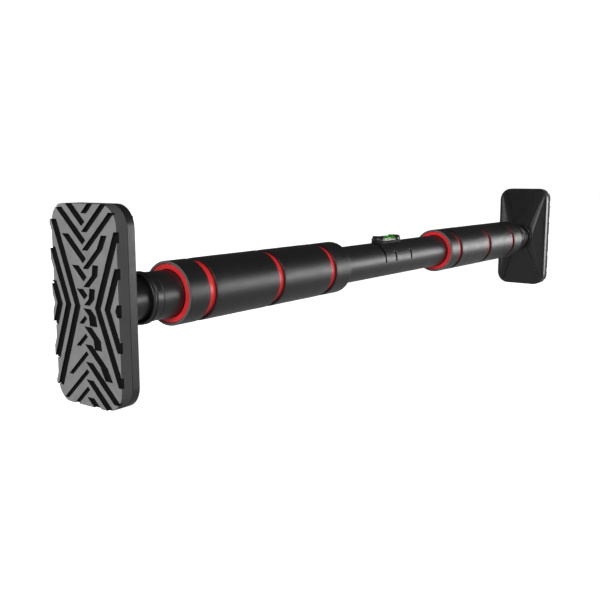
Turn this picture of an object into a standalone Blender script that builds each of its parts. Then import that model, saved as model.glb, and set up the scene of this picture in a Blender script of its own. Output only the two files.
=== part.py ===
"""Expanding tension bar with two screw-out feet, two turning foam grips and a spirit level.

The bar lies along X with its axis through the origin, which is the middle of the bar. +Z is up.
The near end is at -X and the far end at +X. Both ends are built from the same parts: each part is
modelled in an end frame whose +Z runs from the tread face towards the middle of the bar, and an
empty at each tread face places it. Lengths are in millimetres times MM, so that the scene is in
metres.
"""
import math

import bmesh
import bpy
from mathutils import Vector

MM = 0.001
GAP = 0.3 * MM              # kept between faces that touch
SEGMENTS = 32               # around every large turned part
SMALL_SEGMENTS = 16         # around screws, pins and the vial

# Driving sizes of the whole bar
LENGTH = 718 * MM           # over the two tread faces, as set at rest
FOOT_HEIGHT = 123.5 * MM
FOOT_WIDTH = 62 * MM
FOOT_CORNER = 14 * MM
TUBE_RADIUS = 16.2 * MM
TUBE_WALL = 1.5 * MM
NECK_RADIUS = 14.3 * MM
NECK_WALL = 2 * MM
GRIP_RADIUS = 22.1 * MM
HUB_RADIUS = 16.4 * MM
LIP_RADIUS = 17.5 * MM      # of the end collar's lip
FAR_FOOT_OUT = 3.3 * MM     # how much further out the far foot stands than the near one

# Stations along one end, measured from its tread face
RUBBER_THICKNESS = 8 * MM
TREAD_DEPTH = 3 * MM
SHELL_EDGE = 14.4 * MM      # back edge of the shell's side wall
SHELL_PEAK = 24 * MM        # top of the shell's low pyramid
HUB_TOP = 27 * MM
COLLAR_START = 40.2 * MM    # mouth of the end collar
COLLAR_END = 50 * MM
NUT_END = 92 * MM
TUBE_START = 94.6 * MM
GRIP_START = 68.2 * MM
GRIP_LENGTH = 193 * MM
CORE_RECESS = 0.3 * MM      # the red core's end face lies this far inside the foam's
NECK_END = 252 * MM

# The screw that drives each foot
TRAVEL_IN = 7.5 * MM
TRAVEL_OUT = 117.5 * MM
GUIDE_STATION = 245 * MM
GUIDE_RADIUS = 2.7 * MM

# Foam grips: three grooves, at the same distances from the -X end on both grips
GROOVE_WIDTH = 6.3 * MM
GROOVE_CENTRES = (22.2 * MM, 97.9 * MM, 167.4 * MM)
CORE_RADIUS = 20 * MM
CORE_BORE = 17.4 * MM       # between the seats at the core's two ends

# Spirit level on top of the tube
LEVEL_CENTRE = -4 * MM
LEVEL_LENGTH = 42 * MM
LEVEL_WIDTH = 12.4 * MM
LEVEL_HEIGHT = 5.8 * MM     # above the top of the tube
VIAL_RADIUS = 2.7 * MM

COLOURS = {
    "black_rubber": ((0.035, 0.035, 0.036), 0.62, 0.0),
    "black_abs": ((0.022, 0.022, 0.024), 0.42, 0.0),
    "black_steel": ((0.020, 0.020, 0.022), 0.33, 0.85),
    "black_foam": ((0.018, 0.018, 0.019), 0.55, 0.0),
    "red_sleeve": ((0.62, 0.020, 0.024), 0.35, 0.0),
    "zinc_steel": ((0.55, 0.55, 0.56), 0.30, 1.0),
    "green_vial": ((0.10, 0.55, 0.08), 0.10, 0.0),
    "white_nylon": ((0.78, 0.78, 0.75), 0.45, 0.0),
}


# ---------------------------------------------------------------- scene helpers

def clear_scene():
    """Remove every object, so that the script starts from nothing."""
    for obj in list(bpy.data.objects):
        bpy.data.objects.remove(obj, do_unlink=True)


def new_collection(name):
    """Make a collection in the scene, in place of an older one of the same name."""
    old = bpy.data.collections.get(name)
    if old:
        bpy.data.collections.remove(old)
    collection = bpy.data.collections.new(name)
    bpy.context.scene.collection.children.link(collection)
    return collection


def finish_material(node_name, finish):
    """Give a part its own Principled material of the named finish."""
    colour, roughness, metallic = COLOURS[finish]
    material = bpy.data.materials.new(f"{node_name}_{finish}")
    material.use_nodes = True
    shader = material.node_tree.nodes["Principled BSDF"]
    shader.inputs["Base Color"].default_value = (*colour, 1.0)
    shader.inputs["Roughness"].default_value = roughness
    shader.inputs["Metallic"].default_value = metallic
    material.diffuse_color = (*colour, 1.0)
    return material


def add_part(name, mesh, finish, parent=None):
    """Link a mesh as one named part under its parent empty."""
    obj = bpy.data.objects.new(name, mesh)
    PARTS.objects.link(obj)
    obj.parent = parent
    mesh.materials.clear()
    mesh.materials.append(finish_material(name, finish))
    return obj


def add_cutter(name, mesh, parent=None):
    """Link a mesh as a cutter: drawn as wire and left out of the object."""
    obj = bpy.data.objects.new(name, mesh)
    CUTTERS.objects.link(obj)
    obj.parent = parent
    obj.hide_render = True
    obj.display_type = "WIRE"
    return obj


def mesh_from(bm, name):
    """Turn a bmesh into a mesh with outward faces, smooth except at its edges."""
    bmesh.ops.recalc_face_normals(bm, faces=bm.faces)
    mesh = bpy.data.meshes.new(name)
    bm.to_mesh(mesh)
    bm.free()
    mesh.shade_smooth()
    mesh.set_sharp_from_angle(angle=math.radians(35))
    return mesh


def cut(obj, cutter):
    """Take a cutter's volume out of a part."""
    modifier = obj.modifiers.new(f"cut_{cutter.name}", "BOOLEAN")
    modifier.operation = "DIFFERENCE"
    modifier.solver = "EXACT"
    modifier.object = cutter


# ---------------------------------------------------------------- shapes

def turned_mesh(name, profile, segments=SEGMENTS, closed=True):
    """Profile of (radius, station) points, spun about local Z.

    A closed profile makes a ring or a tube. An open one starts and ends on the axis.
    """
    bm = bmesh.new()
    verts = [bm.verts.new((radius, 0.0, station)) for radius, station in profile]
    edges = [bm.edges.new(pair) for pair in zip(verts, verts[1:])]
    if closed:
        edges.append(bm.edges.new((verts[-1], verts[0])))
    bmesh.ops.spin(bm, geom=verts + edges, cent=(0, 0, 0), axis=(0, 0, 1), angle=math.tau,
                   steps=segments, use_merge=True)
    bmesh.ops.remove_doubles(bm, verts=bm.verts, dist=1e-6)
    return mesh_from(bm, name)


def tube_profile(inner, outer, start, end, chamfer=0.0):
    """Closed profile of a plain tube, with its outer edges broken."""
    if not chamfer:
        return [(outer, start), (outer, end), (inner, end), (inner, start)]
    return [(outer - chamfer, start), (outer, start + chamfer), (outer, end - chamfer),
            (outer - chamfer, end), (inner, end), (inner, start)]


def rod_profile(radius, start, end, chamfer=0.0):
    """Open profile of a solid rod, with both edges broken."""
    if not chamfer:
        return [(0.0, start), (radius, start), (radius, end), (0.0, end)]
    return [(0.0, start), (radius - chamfer, start), (radius, start + chamfer),
            (radius, end - chamfer), (radius - chamfer, end), (0.0, end)]


def prism(bm, outline, start, end):
    """Extrude an outline of (x, y) points from one station to another. Returns its vertices."""
    base = [bm.verts.new((x, y, start)) for x, y in outline]
    face = bm.faces.new(base)
    grown = bmesh.ops.extrude_face_region(bm, geom=[face])
    top = [item for item in grown["geom"] if isinstance(item, bmesh.types.BMVert)]
    bmesh.ops.translate(bm, verts=top, vec=(0, 0, end - start))
    return base + top


def rounded_outline(height, width, corner, steps=6):
    """Rounded rectangle in the end frame: height along X, width along Y."""
    points = []
    for quarter in range(4):
        sign_x = 1 if quarter in (0, 3) else -1
        sign_y = 1 if quarter in (0, 1) else -1
        centre_x = sign_x * (height / 2 - corner)
        centre_y = sign_y * (width / 2 - corner)
        for step in range(steps + 1):
            angle = math.radians(90) * (quarter + step / steps)
            points.append((centre_x + corner * math.cos(angle), centre_y + corner * math.sin(angle)))
    return points


def strip_outline(start, end, width):
    """Outline of a straight strip of even width between two points."""
    along = (end - start).normalized()
    across = Vector((-along.y, along.x)) * width / 2
    return [tuple(start + across), tuple(end + across), tuple(end - across),
            tuple(start - across)]


# ---------------------------------------------------------------- tread pattern

ARM_PITCH = 11 * MM         # between the V arms, along the height
ARM_WIDTH = 5.6 * MM        # measured level, across the pad
ARM_SLOPE = 0.92            # rise of an arm for each unit of width
STRAIGHT_REACHES = (3.8 * MM, 7.2 * MM, 15.6 * MM, 21 * MM, 16 * MM)
KINKED_REACHES = (4.5 * MM, 8.2 * MM, 13.5 * MM, 25 * MM, 20 * MM, 10 * MM)
KINKED_TAILS = ((6.3 * MM, 1 * MM), (6.2 * MM, 0.9 * MM), (8.2 * MM, 4.3 * MM))
CHEVRON_WIDTH = 5.2 * MM
CHEVRON_SLOPE = 2.75
CHEVRON_CENTRE = -2.5 * MM
CHEVRONS = ((9.15 * MM, 52 * MM), (17.85 * MM, 35 * MM), (26.25 * MM, 14 * MM))


def arm_paths():
    """Centre lines of the V arms in the upper half, as (height, width) points."""
    paths = []
    for index, reach in enumerate(STRAIGHT_REACHES):
        root = 7.2 * MM + index * ARM_PITCH
        start = 0.2 * MM
        paths.append([(root, start), (root + reach * ARM_SLOPE, start + reach)])
    for index, reach in enumerate(KINKED_REACHES):
        root = 1 * MM + index * ARM_PITCH
        start = -2 * MM
        path = [(root, start), (root + reach * ARM_SLOPE, start - reach)]
        if index < len(KINKED_TAILS):
            rise, drift = KINKED_TAILS[index]
            path.append((path[-1][0] + rise, path[-1][1] - drift))
        paths.append(path)
    return paths


def chevron_paths():
    """Centre lines of the flat chevrons on both sides, over the whole height."""
    paths = []
    for side in (1, -1):
        for apex, half_height in CHEVRONS:
            middle = CHEVRON_CENTRE + side * apex
            end = middle + side * half_height / CHEVRON_SLOPE
            paths.append([(half_height, end), (0.0, middle), (-half_height, end)])
    return paths


def level_strip(path, width):
    """Outline of a strip whose ends and bends are cut level, across the pad."""
    return ([(x, y + width / 2) for x, y in path]
            + [(x, y - width / 2) for x, y in reversed(path)])


def tread_cutter(name, end):
    """Every groove of one tread, as one cutter that stands out past the tread face."""
    bm = bmesh.new()
    for path in arm_paths():
        for flip in (1, -1):
            outline = level_strip([(flip * x, y) for x, y in path], ARM_WIDTH)
            prism(bm, outline, -1 * MM, TREAD_DEPTH)
    for path in chevron_paths():
        prism(bm, level_strip(path, CHEVRON_WIDTH), -1 * MM, TREAD_DEPTH)
    return add_cutter(name, mesh_from(bm, name), end)


# ---------------------------------------------------------------- foot

PLATE_HEIGHT = 96 * MM
PLATE_WIDTH = 40 * MM
PLATE_THICKNESS = 3 * MM
PLATE_SCREW_HEIGHT = 38 * MM
PLATE_SCREW_WIDTH = 11 * MM
BOLT_HEAD_RADIUS = 6.5 * MM
BOLT_RADIUS = 4 * MM
SCREW_HEAD_RADIUS = 3.4 * MM
SCREW_RADIUS = 1.7 * MM
POCKET_DEPTH = 4.2 * MM     # in the back of the rubber, for the bolt's and screws' heads
RIB_WIDTH = 9 * MM
RIB_HEIGHT = 1.6 * MM
SOCKET_START = 14.5 * MM    # where the neck seats in the shell

SHELL_START = RUBBER_THICKNESS + GAP
PLATE_START = SHELL_START + GAP
PLATE_END = PLATE_START + PLATE_THICKNESS
SCREW_SPOTS = [(sx * PLATE_SCREW_HEIGHT, sy * PLATE_SCREW_WIDTH) for sx in (1, -1) for sy in (1, -1)]


def round_cutter(name, end, spots, radius, start, stop, segments=SMALL_SEGMENTS):
    """Round holes of one radius at several (x, y) spots, as one cutter."""
    bm = bmesh.new()
    for x, y in spots:
        made = bmesh.ops.create_cone(bm, cap_ends=True, segments=segments, radius1=radius,
                                     radius2=radius, depth=stop - start)
        bmesh.ops.translate(bm, verts=made["verts"], vec=(x, y, (start + stop) / 2))
    return add_cutter(name, mesh_from(bm, name), end)


def make_tread_pad(side, end):
    """Rubber pad: a grooved slab with pockets in its back for the bolt and the plate screws."""
    bm = bmesh.new()
    prism(bm, rounded_outline(FOOT_HEIGHT, FOOT_WIDTH, FOOT_CORNER), 0.0, RUBBER_THICKNESS)
    pad = add_part(f"{side}_tread_pad", mesh_from(bm, f"{side}_tread_pad"), "black_rubber", end)
    cut(pad, tread_cutter(f"{side}_tread_grooves", end))
    pocket_start = RUBBER_THICKNESS - POCKET_DEPTH
    cut(pad, round_cutter(f"{side}_bolt_pocket", end, [(0, 0)], BOLT_HEAD_RADIUS + 0.6 * MM,
                          pocket_start, SHELL_START + 1 * MM))
    cut(pad, round_cutter(f"{side}_screw_pockets", end, SCREW_SPOTS, SCREW_HEAD_RADIUS + 0.5 * MM,
                          RUBBER_THICKNESS - 2.6 * MM, SHELL_START + 1 * MM, 16))


def shell_body():
    """The shell's outside: a straight side wall, then four facets that rise to the hub."""
    bm = bmesh.new()
    rings = [
        (FOOT_HEIGHT, FOOT_WIDTH, FOOT_CORNER, SHELL_START),
        (FOOT_HEIGHT, FOOT_WIDTH, FOOT_CORNER, SHELL_EDGE - 0.8 * MM),
        (FOOT_HEIGHT - 1.8 * MM, FOOT_WIDTH - 1.8 * MM, FOOT_CORNER - 0.9 * MM, SHELL_EDGE),
        (39 * MM, 36.5 * MM, 14 * MM, SHELL_PEAK - 1.2 * MM),
        (36.5 * MM, 36.5 * MM, 17 * MM, SHELL_PEAK),
    ]
    loops = []
    for height, width, corner, station in rings:
        verts = [bm.verts.new((x, y, station)) for x, y in rounded_outline(height, width, corner)]
        loops.append([bm.edges.new((a, b)) for a, b in zip(verts, verts[1:] + verts[:1])])
    for lower, upper in zip(loops, loops[1:]):
        bmesh.ops.bridge_loops(bm, edges=lower + upper)
    for loop in (loops[0], loops[-1]):
        bmesh.ops.edgeloop_fill(bm, edges=loop)
    return bm


def rib_mesh(name):
    """Two crossed ribs that run from corner to corner over the facets, up to the hub."""
    bm = bmesh.new()
    outer_x = FOOT_HEIGHT / 2 - 7 * MM
    outer_y = FOOT_WIDTH / 2 - 7 * MM
    for sign_x in (1, -1):
        for sign_y in (1, -1):
            far = Vector((sign_x * outer_x, sign_y * outer_y))
            near = Vector((sign_x * 10 * MM, sign_y * 9 * MM))
            outline = strip_outline(near, far, RIB_WIDTH)
            verts = prism(bm, outline, PLATE_END + 1 * MM, SHELL_EDGE + 0.6 * MM)
            top = [vert for vert in verts if vert.co.z > SHELL_EDGE]
            for vert in top:
                flat = Vector(vert.co[:2])
                inward = (far - flat).length / (far - near).length
                vert.co.z = SHELL_EDGE + 0.5 * MM + RIB_HEIGHT * 0.4 + inward * (
                    SHELL_PEAK - SHELL_EDGE - 0.4 * MM)
                vert.co.x += (near.x + (far.x - near.x) * (1 - inward) - flat.x) * 0.38
                vert.co.y += (near.y + (far.y - near.y) * (1 - inward) - flat.y) * 0.38
    return mesh_from(bm, name)


def make_pad_shell(side, end):
    """Moulded back shell with crossed ribs, a pocket for the plate and a socket for the neck."""
    name = f"{side}_pad_shell"
    shell = add_part(name, mesh_from(shell_body(), name), "black_abs", end)
    ribs = add_cutter(f"{side}_shell_ribs", rib_mesh(f"{side}_shell_ribs"), end)
    union = shell.modifiers.new("ribs", "BOOLEAN")
    union.operation = "UNION"
    union.solver = "EXACT"
    union.object = ribs
    bm = bmesh.new()
    prism(bm, rounded_outline(PLATE_HEIGHT + 2 * GAP, PLATE_WIDTH + 2 * GAP, 6 * MM, 3),
          SHELL_START - 1 * MM, PLATE_END + GAP)
    cut(shell, add_cutter(f"{side}_plate_pocket", mesh_from(bm, f"{side}_plate_pocket"), end))
    cut(shell, round_cutter(f"{side}_neck_socket", end, [(0, 0)], NECK_RADIUS + GAP,
                            PLATE_END - 1 * MM, SHELL_PEAK + 8 * MM, SEGMENTS))
    cut(shell, round_cutter(f"{side}_hub_seat", end, [(0, 0)], HUB_RADIUS + GAP,
                            SHELL_PEAK, HUB_TOP, SEGMENTS))
    cut(shell, round_cutter(f"{side}_screw_pilots", end, SCREW_SPOTS, SCREW_RADIUS + 0.2 * MM,
                            PLATE_END - 1 * MM, PLATE_END + 4.4 * MM, 12))


def make_plate(side, end):
    """Steel stiffening plate that spreads the neck's push over the pad."""
    name = f"{side}_pad_plate"
    bm = bmesh.new()
    prism(bm, rounded_outline(PLATE_HEIGHT, PLATE_WIDTH, 5.7 * MM, 3), PLATE_START, PLATE_END)
    plate = add_part(name, mesh_from(bm, name), "zinc_steel", end)
    cut(plate, round_cutter(f"{side}_plate_bore", end, [(0, 0)], BOLT_RADIUS + GAP,
                            PLATE_START - 1 * MM, PLATE_END + 1 * MM))
    cut(plate, round_cutter(f"{side}_plate_holes", end, SCREW_SPOTS, SCREW_RADIUS + GAP,
                            PLATE_START - 1 * MM, PLATE_END + 1 * MM, 12))


def headed_screw(head_radius, head_height, shank_radius, seat, length):
    """Open profile of a screw whose head sits under the plate and whose shank runs inwards."""
    head = seat - head_height
    edge = 0.4 * MM
    return [(0.0, head), (head_radius - edge, head), (head_radius, head + edge), (head_radius, seat),
            (shank_radius, seat), (shank_radius, seat + length - shank_radius * 0.5),
            (shank_radius * 0.5, seat + length), (0.0, seat + length)]


def make_foot_fasteners(side, end):
    """Central bolt and four plate screws."""
    seat = PLATE_START - GAP
    bolt_mesh = turned_mesh(f"{side}_pad_bolt", headed_screw(
        BOLT_HEAD_RADIUS, 3.6 * MM, BOLT_RADIUS, seat, 22 * MM), SMALL_SEGMENTS, closed=False)
    add_part(f"{side}_pad_bolt", bolt_mesh, "zinc_steel", end)
    for number, (x, y) in enumerate(SCREW_SPOTS, start=1):
        name = f"{side}_plate_screw_{number}"
        mesh = turned_mesh(name, headed_screw(SCREW_HEAD_RADIUS, 2 * MM, SCREW_RADIUS, seat,
                                              7 * MM), 12, closed=False)
        screw = add_part(name, mesh, "zinc_steel", end)
        screw.location = (x, y, 0)


def make_neck(side, end):
    """Hub ring, neck tube with its foot plug, and the guide pin at the neck's inner end."""
    hub = tube_profile(NECK_RADIUS + GAP, HUB_RADIUS, SHELL_PEAK + GAP, HUB_TOP, 1 * MM)
    add_part(f"{side}_hub_ring", turned_mesh(f"{side}_hub_ring", hub), "black_abs", end)

    name = f"{side}_neck_tube"
    bore = NECK_RADIUS - NECK_WALL
    neck = add_part(name, turned_mesh(name, tube_profile(
        bore, NECK_RADIUS, SOCKET_START, NECK_END, 0.8 * MM)), "black_steel", end)
    cross = turned_mesh(f"{side}_guide_hole", rod_profile(GUIDE_RADIUS + GAP, 8 * MM, 20 * MM),
                        SMALL_SEGMENTS, closed=False)
    hole = add_cutter(f"{side}_guide_hole", cross, end)
    hole.location = (0, 0, GUIDE_STATION)
    hole.rotation_euler = (0, math.radians(90), 0)
    cut(neck, hole)

    plug_bore = BOLT_RADIUS + GAP
    plug = [(bore - GAP, SOCKET_START), (bore - GAP, 44 * MM), (plug_bore, 44 * MM),
            (plug_bore, SOCKET_START)]
    add_part(f"{side}_neck_plug", turned_mesh(f"{side}_neck_plug", plug), "zinc_steel", end)

    pin_mesh = turned_mesh(f"{side}_guide_pin", rod_profile(
        GUIDE_RADIUS, 10 * MM, TUBE_RADIUS - 0.2 * MM, 0.4 * MM), SMALL_SEGMENTS, closed=False)
    pin = add_part(f"{side}_guide_pin", pin_mesh, "zinc_steel", end)
    pin.location = (0, 0, GUIDE_STATION)
    pin.rotation_euler = (0, math.radians(90), 0)


# ---------------------------------------------------------------- turning grip

DRIVE_PIN_STATION = 80 * MM
DRIVE_PIN_RADIUS = 2 * MM


def foam_edges(side):
    """Start and end stations of the four foam pieces of one grip."""
    centres = GROOVE_CENTRES
    if side == "far":
        centres = [GRIP_LENGTH - centre for centre in reversed(GROOVE_CENTRES)]
    starts = [0.0] + [centre + GROOVE_WIDTH / 2 for centre in centres]
    ends = [centre - GROOVE_WIDTH / 2 for centre in centres] + [GRIP_LENGTH]
    return [(GRIP_START + start, GRIP_START + end) for start, end in zip(starts, ends)]


def make_collar(side, end):
    """End collar with its lipped mouth, and the nut sleeve behind it. Returns the sleeve."""
    mouth = NECK_RADIUS + 0.5 * MM
    lip = LIP_RADIUS
    collar = [(mouth + 1.2 * MM, COLLAR_START), (lip - 0.9 * MM, COLLAR_START),
              (lip, COLLAR_START + 1.1 * MM), (lip, COLLAR_START + 3.6 * MM),
              (TUBE_RADIUS + 0.2 * MM, COLLAR_START + 4.6 * MM),
              (TUBE_RADIUS + 0.2 * MM, COLLAR_END - 0.5 * MM),
              (TUBE_RADIUS - 0.3 * MM, COLLAR_END), (mouth, COLLAR_END),
              (mouth, COLLAR_START + 3 * MM)]
    name = f"{side}_end_collar"
    add_part(name, turned_mesh(name, collar), "black_abs", end)

    name = f"{side}_nut_sleeve"
    sleeve = add_part(name, turned_mesh(name, tube_profile(
        NECK_RADIUS + GAP, TUBE_RADIUS, COLLAR_END + GAP, NUT_END)), "black_steel", end)
    name = f"{side}_thrust_washer"
    add_part(name, turned_mesh(name, tube_profile(
        NECK_RADIUS + GAP, TUBE_RADIUS, NUT_END + GAP, TUBE_START - GAP)), "white_nylon", end)
    return sleeve


def make_grip(side, end):
    """Red core sleeve, four foam pieces and the drive pin. Returns the drive pin's hole."""
    core_start = GRIP_START + CORE_RECESS
    core_end = GRIP_START + GRIP_LENGTH - CORE_RECESS
    seat = TUBE_RADIUS + GAP
    core = [(CORE_RADIUS - 0.5 * MM, core_start), (CORE_RADIUS, core_start + 0.5 * MM),
            (CORE_RADIUS, core_end - 0.5 * MM), (CORE_RADIUS - 0.5 * MM, core_end),
            (seat, core_end), (seat, core_end - 26 * MM), (CORE_BORE, core_end - 28 * MM),
            (CORE_BORE, NUT_END), (seat, NUT_END - 2 * MM), (seat, core_start)]
    name = f"{side}_grip_core"
    core_part = add_part(name, turned_mesh(name, core), "red_sleeve", end)

    hole_name = f"{side}_drive_hole"
    hole_mesh = turned_mesh(hole_name, rod_profile(DRIVE_PIN_RADIUS + GAP, 14 * MM, 21 * MM), 12,
                            closed=False)
    hole = add_cutter(hole_name, hole_mesh, end)
    pin_mesh = turned_mesh(f"{side}_drive_pin", rod_profile(
        DRIVE_PIN_RADIUS, NECK_RADIUS + 0.6 * MM, CORE_RADIUS - 0.2 * MM), 12, closed=False)
    pin = add_part(f"{side}_drive_pin", pin_mesh, "zinc_steel", end)
    for obj in (hole, pin):
        obj.location = (0, 0, DRIVE_PIN_STATION)
        obj.rotation_euler = (0, math.radians(90), 0)
    cut(core_part, hole)

    inner = CORE_RADIUS + GAP
    edge = 0.9 * MM
    for number, (start, stop) in enumerate(foam_edges(side), start=1):
        foam = [(GRIP_RADIUS - edge, start), (GRIP_RADIUS, start + edge),
                (GRIP_RADIUS, stop - edge), (GRIP_RADIUS - edge, stop), (inner, stop), (inner, start)]
        name = f"{side}_grip_foam_{number}"
        add_part(name, turned_mesh(name, foam), "black_foam", end)
    return hole


# ---------------------------------------------------------------- main tube

MARK_WIDTH = 1.1 * MM
MARK_DEPTH = 0.6 * MM
LONG_MARK = (-30.2 * MM, -1, 181)
SHORT_MARKS = ((-10.6 * MM, -1, 27), (18.2 * MM, -1, 27))
SLOT_START = GUIDE_STATION - TRAVEL_OUT - GUIDE_RADIUS - 1.5 * MM
SLOT_END = GUIDE_STATION + TRAVEL_IN + GUIDE_RADIUS + 1.5 * MM


def arc_cutter(name, station, first, last):
    """Part of a ring, cut into the tube's skin between two angles from the -Y side."""
    bm = bmesh.new()
    inner = TUBE_RADIUS - MARK_DEPTH
    outer = TUBE_RADIUS + 1 * MM
    angle = math.radians(first)
    corners = [(station - MARK_WIDTH / 2, inner), (station + MARK_WIDTH / 2, inner),
               (station + MARK_WIDTH / 2, outer), (station - MARK_WIDTH / 2, outer)]
    verts = [bm.verts.new((x, -radius * math.cos(angle), radius * math.sin(angle)))
             for x, radius in corners]
    face = bm.faces.new(verts)
    steps = max(3, round((last - first) / 9))
    bmesh.ops.spin(bm, geom=[face], cent=(0, 0, 0), axis=(-1, 0, 0),
                   angle=math.radians(last - first), steps=steps)
    return add_cutter(name, mesh_from(bm, name))


def make_main_tube():
    """The long tube between the two nut sleeves, with index marks and two guide slots."""
    half = LENGTH / 2
    tube_mesh = turned_mesh("main_tube", tube_profile(
        TUBE_RADIUS - TUBE_WALL, TUBE_RADIUS, TUBE_START - half,
        half - TUBE_START - FAR_FOOT_OUT))
    tube = add_part("main_tube", tube_mesh, "black_steel")
    tube.rotation_euler = (0, math.radians(90), 0)
    cut(tube, arc_cutter("long_mark", *LONG_MARK))
    for number, mark in enumerate(SHORT_MARKS, start=1):
        cut(tube, arc_cutter(f"short_mark_{number}", *mark))
    for side, end in FOOT_FRAMES.items():
        bm = bmesh.new()
        half_width = GUIDE_RADIUS + GAP
        outline = [(station, offset) for station, offset in (
            (SLOT_START, half_width), (SLOT_START, -half_width),
            (SLOT_END, -half_width), (SLOT_END, half_width))]
        prism(bm, outline, 12 * MM, 20 * MM)
        slot = add_cutter(f"{side}_guide_slot", mesh_from(bm, f"{side}_guide_slot"), end)
        # The outline's first axis lies along the tube and the prism stands out radially
        slot.rotation_euler = (0, math.radians(-90), math.radians(180))
        cut(tube, slot)


# ---------------------------------------------------------------- spirit level

RAIL_HALF = 4.4 * MM        # half width over the two rails beside the vial
RAIL_HEIGHT = 1.2 * MM      # rails above the saddle
SADDLE_TOP = TUBE_RADIUS + 1.2 * MM
LEVEL_TOP = TUBE_RADIUS + LEVEL_HEIGHT
VIAL_HEIGHT = LEVEL_TOP - VIAL_RADIUS
CAP_LENGTH = 9 * MM
LEVEL_SCREW_OFFSET = LEVEL_LENGTH / 2 - 3.6 * MM


def capsule_outline(length, width, steps=10):
    """Slot-shaped outline with round ends, along X."""
    radius = width / 2
    points = []
    for side in (1, -1):
        for step in range(steps + 1):
            angle = math.radians(-90 + 180 * step / steps)
            points.append((side * (length / 2 - radius + radius * math.cos(angle)),
                           side * radius * math.sin(angle)))
    return points


def tube_clear_cutter(name, frame):
    """The tube's own round, a little larger, that hollows the underside of the level."""
    mesh = turned_mesh(name, rod_profile(TUBE_RADIUS + GAP, -40 * MM, 40 * MM), SEGMENTS,
                       closed=False)
    cutter = add_cutter(name, mesh, frame)
    cutter.rotation_euler = (0, math.radians(90), 0)
    return cutter


def vial_rod(name, clearance):
    """Rod of the vial's own size, or a little larger, about local Z."""
    half = LEVEL_LENGTH / 2 - CAP_LENGTH + 3 * MM + clearance
    return turned_mesh(name, rod_profile(VIAL_RADIUS + clearance, -half, half, 0.8 * MM),
                       SMALL_SEGMENTS, closed=False)


def make_saddle(frame, seat):
    """Saddle that fits the tube, with a low rail on each side of the vial."""
    window = LEVEL_LENGTH - 2 * CAP_LENGTH
    bm = bmesh.new()
    prism(bm, capsule_outline(LEVEL_LENGTH, LEVEL_WIDTH), TUBE_RADIUS - 3 * MM, SADDLE_TOP)
    saddle = add_part("level_saddle", mesh_from(bm, "level_saddle"), "black_abs", frame)
    bm = bmesh.new()
    prism(bm, [(window / 2 - GAP, -RAIL_HALF), (window / 2 - GAP, RAIL_HALF),
               (-window / 2 + GAP, RAIL_HALF), (-window / 2 + GAP, -RAIL_HALF)],
          TUBE_RADIUS, SADDLE_TOP + RAIL_HEIGHT)
    rails = saddle.modifiers.new("rails", "BOOLEAN")
    rails.operation = "UNION"
    rails.solver = "EXACT"
    rails.object = add_cutter("level_rails", mesh_from(bm, "level_rails"), frame)
    cut(saddle, tube_clear_cutter("level_underside", frame))
    cut(saddle, seat)
    return saddle


def make_cap(label, sign, frame, seat):
    """Domed end cap with a well for its screw. Returns the cap."""
    name = f"level_cap_{label}"
    dome_radius = LEVEL_WIDTH / 2 - 0.4 * MM
    inner = LEVEL_LENGTH / 2 - CAP_LENGTH
    centre = LEVEL_LENGTH / 2 - 0.4 * MM - dome_radius
    outline = [(inner, dome_radius), (inner, -dome_radius)]
    for step in range(13):
        angle = math.radians(-90 + 15 * step)
        outline.append((centre + dome_radius * math.cos(angle), dome_radius * math.sin(angle)))
    bm = bmesh.new()
    prism(bm, [(sign * x, y) for x, y in outline], SADDLE_TOP + GAP, LEVEL_TOP)
    upper = [edge for edge in bm.edges if all(vert.co.z > LEVEL_TOP - 1e-6 for vert in edge.verts)]
    bmesh.ops.bevel(bm, geom=upper, offset=1.8 * MM, offset_type="OFFSET", segments=3,
                    profile=0.5, affect="EDGES", clamp_overlap=True)
    cap = add_part(name, mesh_from(bm, name), "black_abs", frame)
    cut(cap, seat)
    return cap


def make_level():
    """Saddle with two low rails, vial, two domed end caps and their screws."""
    frame = new_empty("level_frame", (LEVEL_CENTRE, 0, 0))
    vial = add_part("level_vial", vial_rod("level_vial", 0.0), "green_vial", frame)
    seat = add_cutter("vial_seat", vial_rod("vial_seat", GAP), frame)
    for rod in (vial, seat):
        rod.rotation_euler = (0, math.radians(90), 0)
        rod.location = (0, 0, VIAL_HEIGHT)
    saddle = make_saddle(frame, seat)
    head_top = LEVEL_TOP - 0.4 * MM
    head_seat = head_top - 1.2 * MM
    for label, sign in (("near", -1), ("far", 1)):
        cap = make_cap(label, sign, frame, seat)
        name = f"level_screw_{label}"
        spot = (sign * LEVEL_SCREW_OFFSET, 0)
        bore = round_cutter(f"{name}_bore", frame, [spot], 1.15 * MM, TUBE_RADIUS - 4 * MM,
                            LEVEL_TOP, 12)
        for part in (cap, saddle):
            cut(part, bore)
        cut(cap, round_cutter(f"{name}_well", frame, [spot], 1.9 * MM, head_seat - GAP,
                              LEVEL_TOP + 1 * MM, 12))
        shank = 0.85 * MM
        profile = [(0.0, TUBE_RADIUS + 0.4 * MM), (shank, TUBE_RADIUS + 0.4 * MM),
                   (shank, head_seat), (1.5 * MM, head_seat), (1.5 * MM, head_top - 0.3 * MM),
                   (0.0, head_top)]
        screw = add_part(name, turned_mesh(name, profile, 12, closed=False), "zinc_steel", frame)
        screw.location = (*spot, 0)


# ---------------------------------------------------------------- assembly

def new_empty(name, place, turn=0.0):
    """Empty at a place, turned about Y."""
    empty = bpy.data.objects.new(name, None)
    PARTS.objects.link(empty)
    empty.location = place
    empty.rotation_euler = (0, turn, 0)
    return empty


def end_frame(name, sign, inset):
    """Empty on the bar's axis, with its +Z towards the middle of the bar.

    It lies an inset inside the tread face of the end that the sign gives.
    """
    return new_empty(name, (sign * (LENGTH / 2 - inset), 0, 0), math.radians(-90 * sign))


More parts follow.
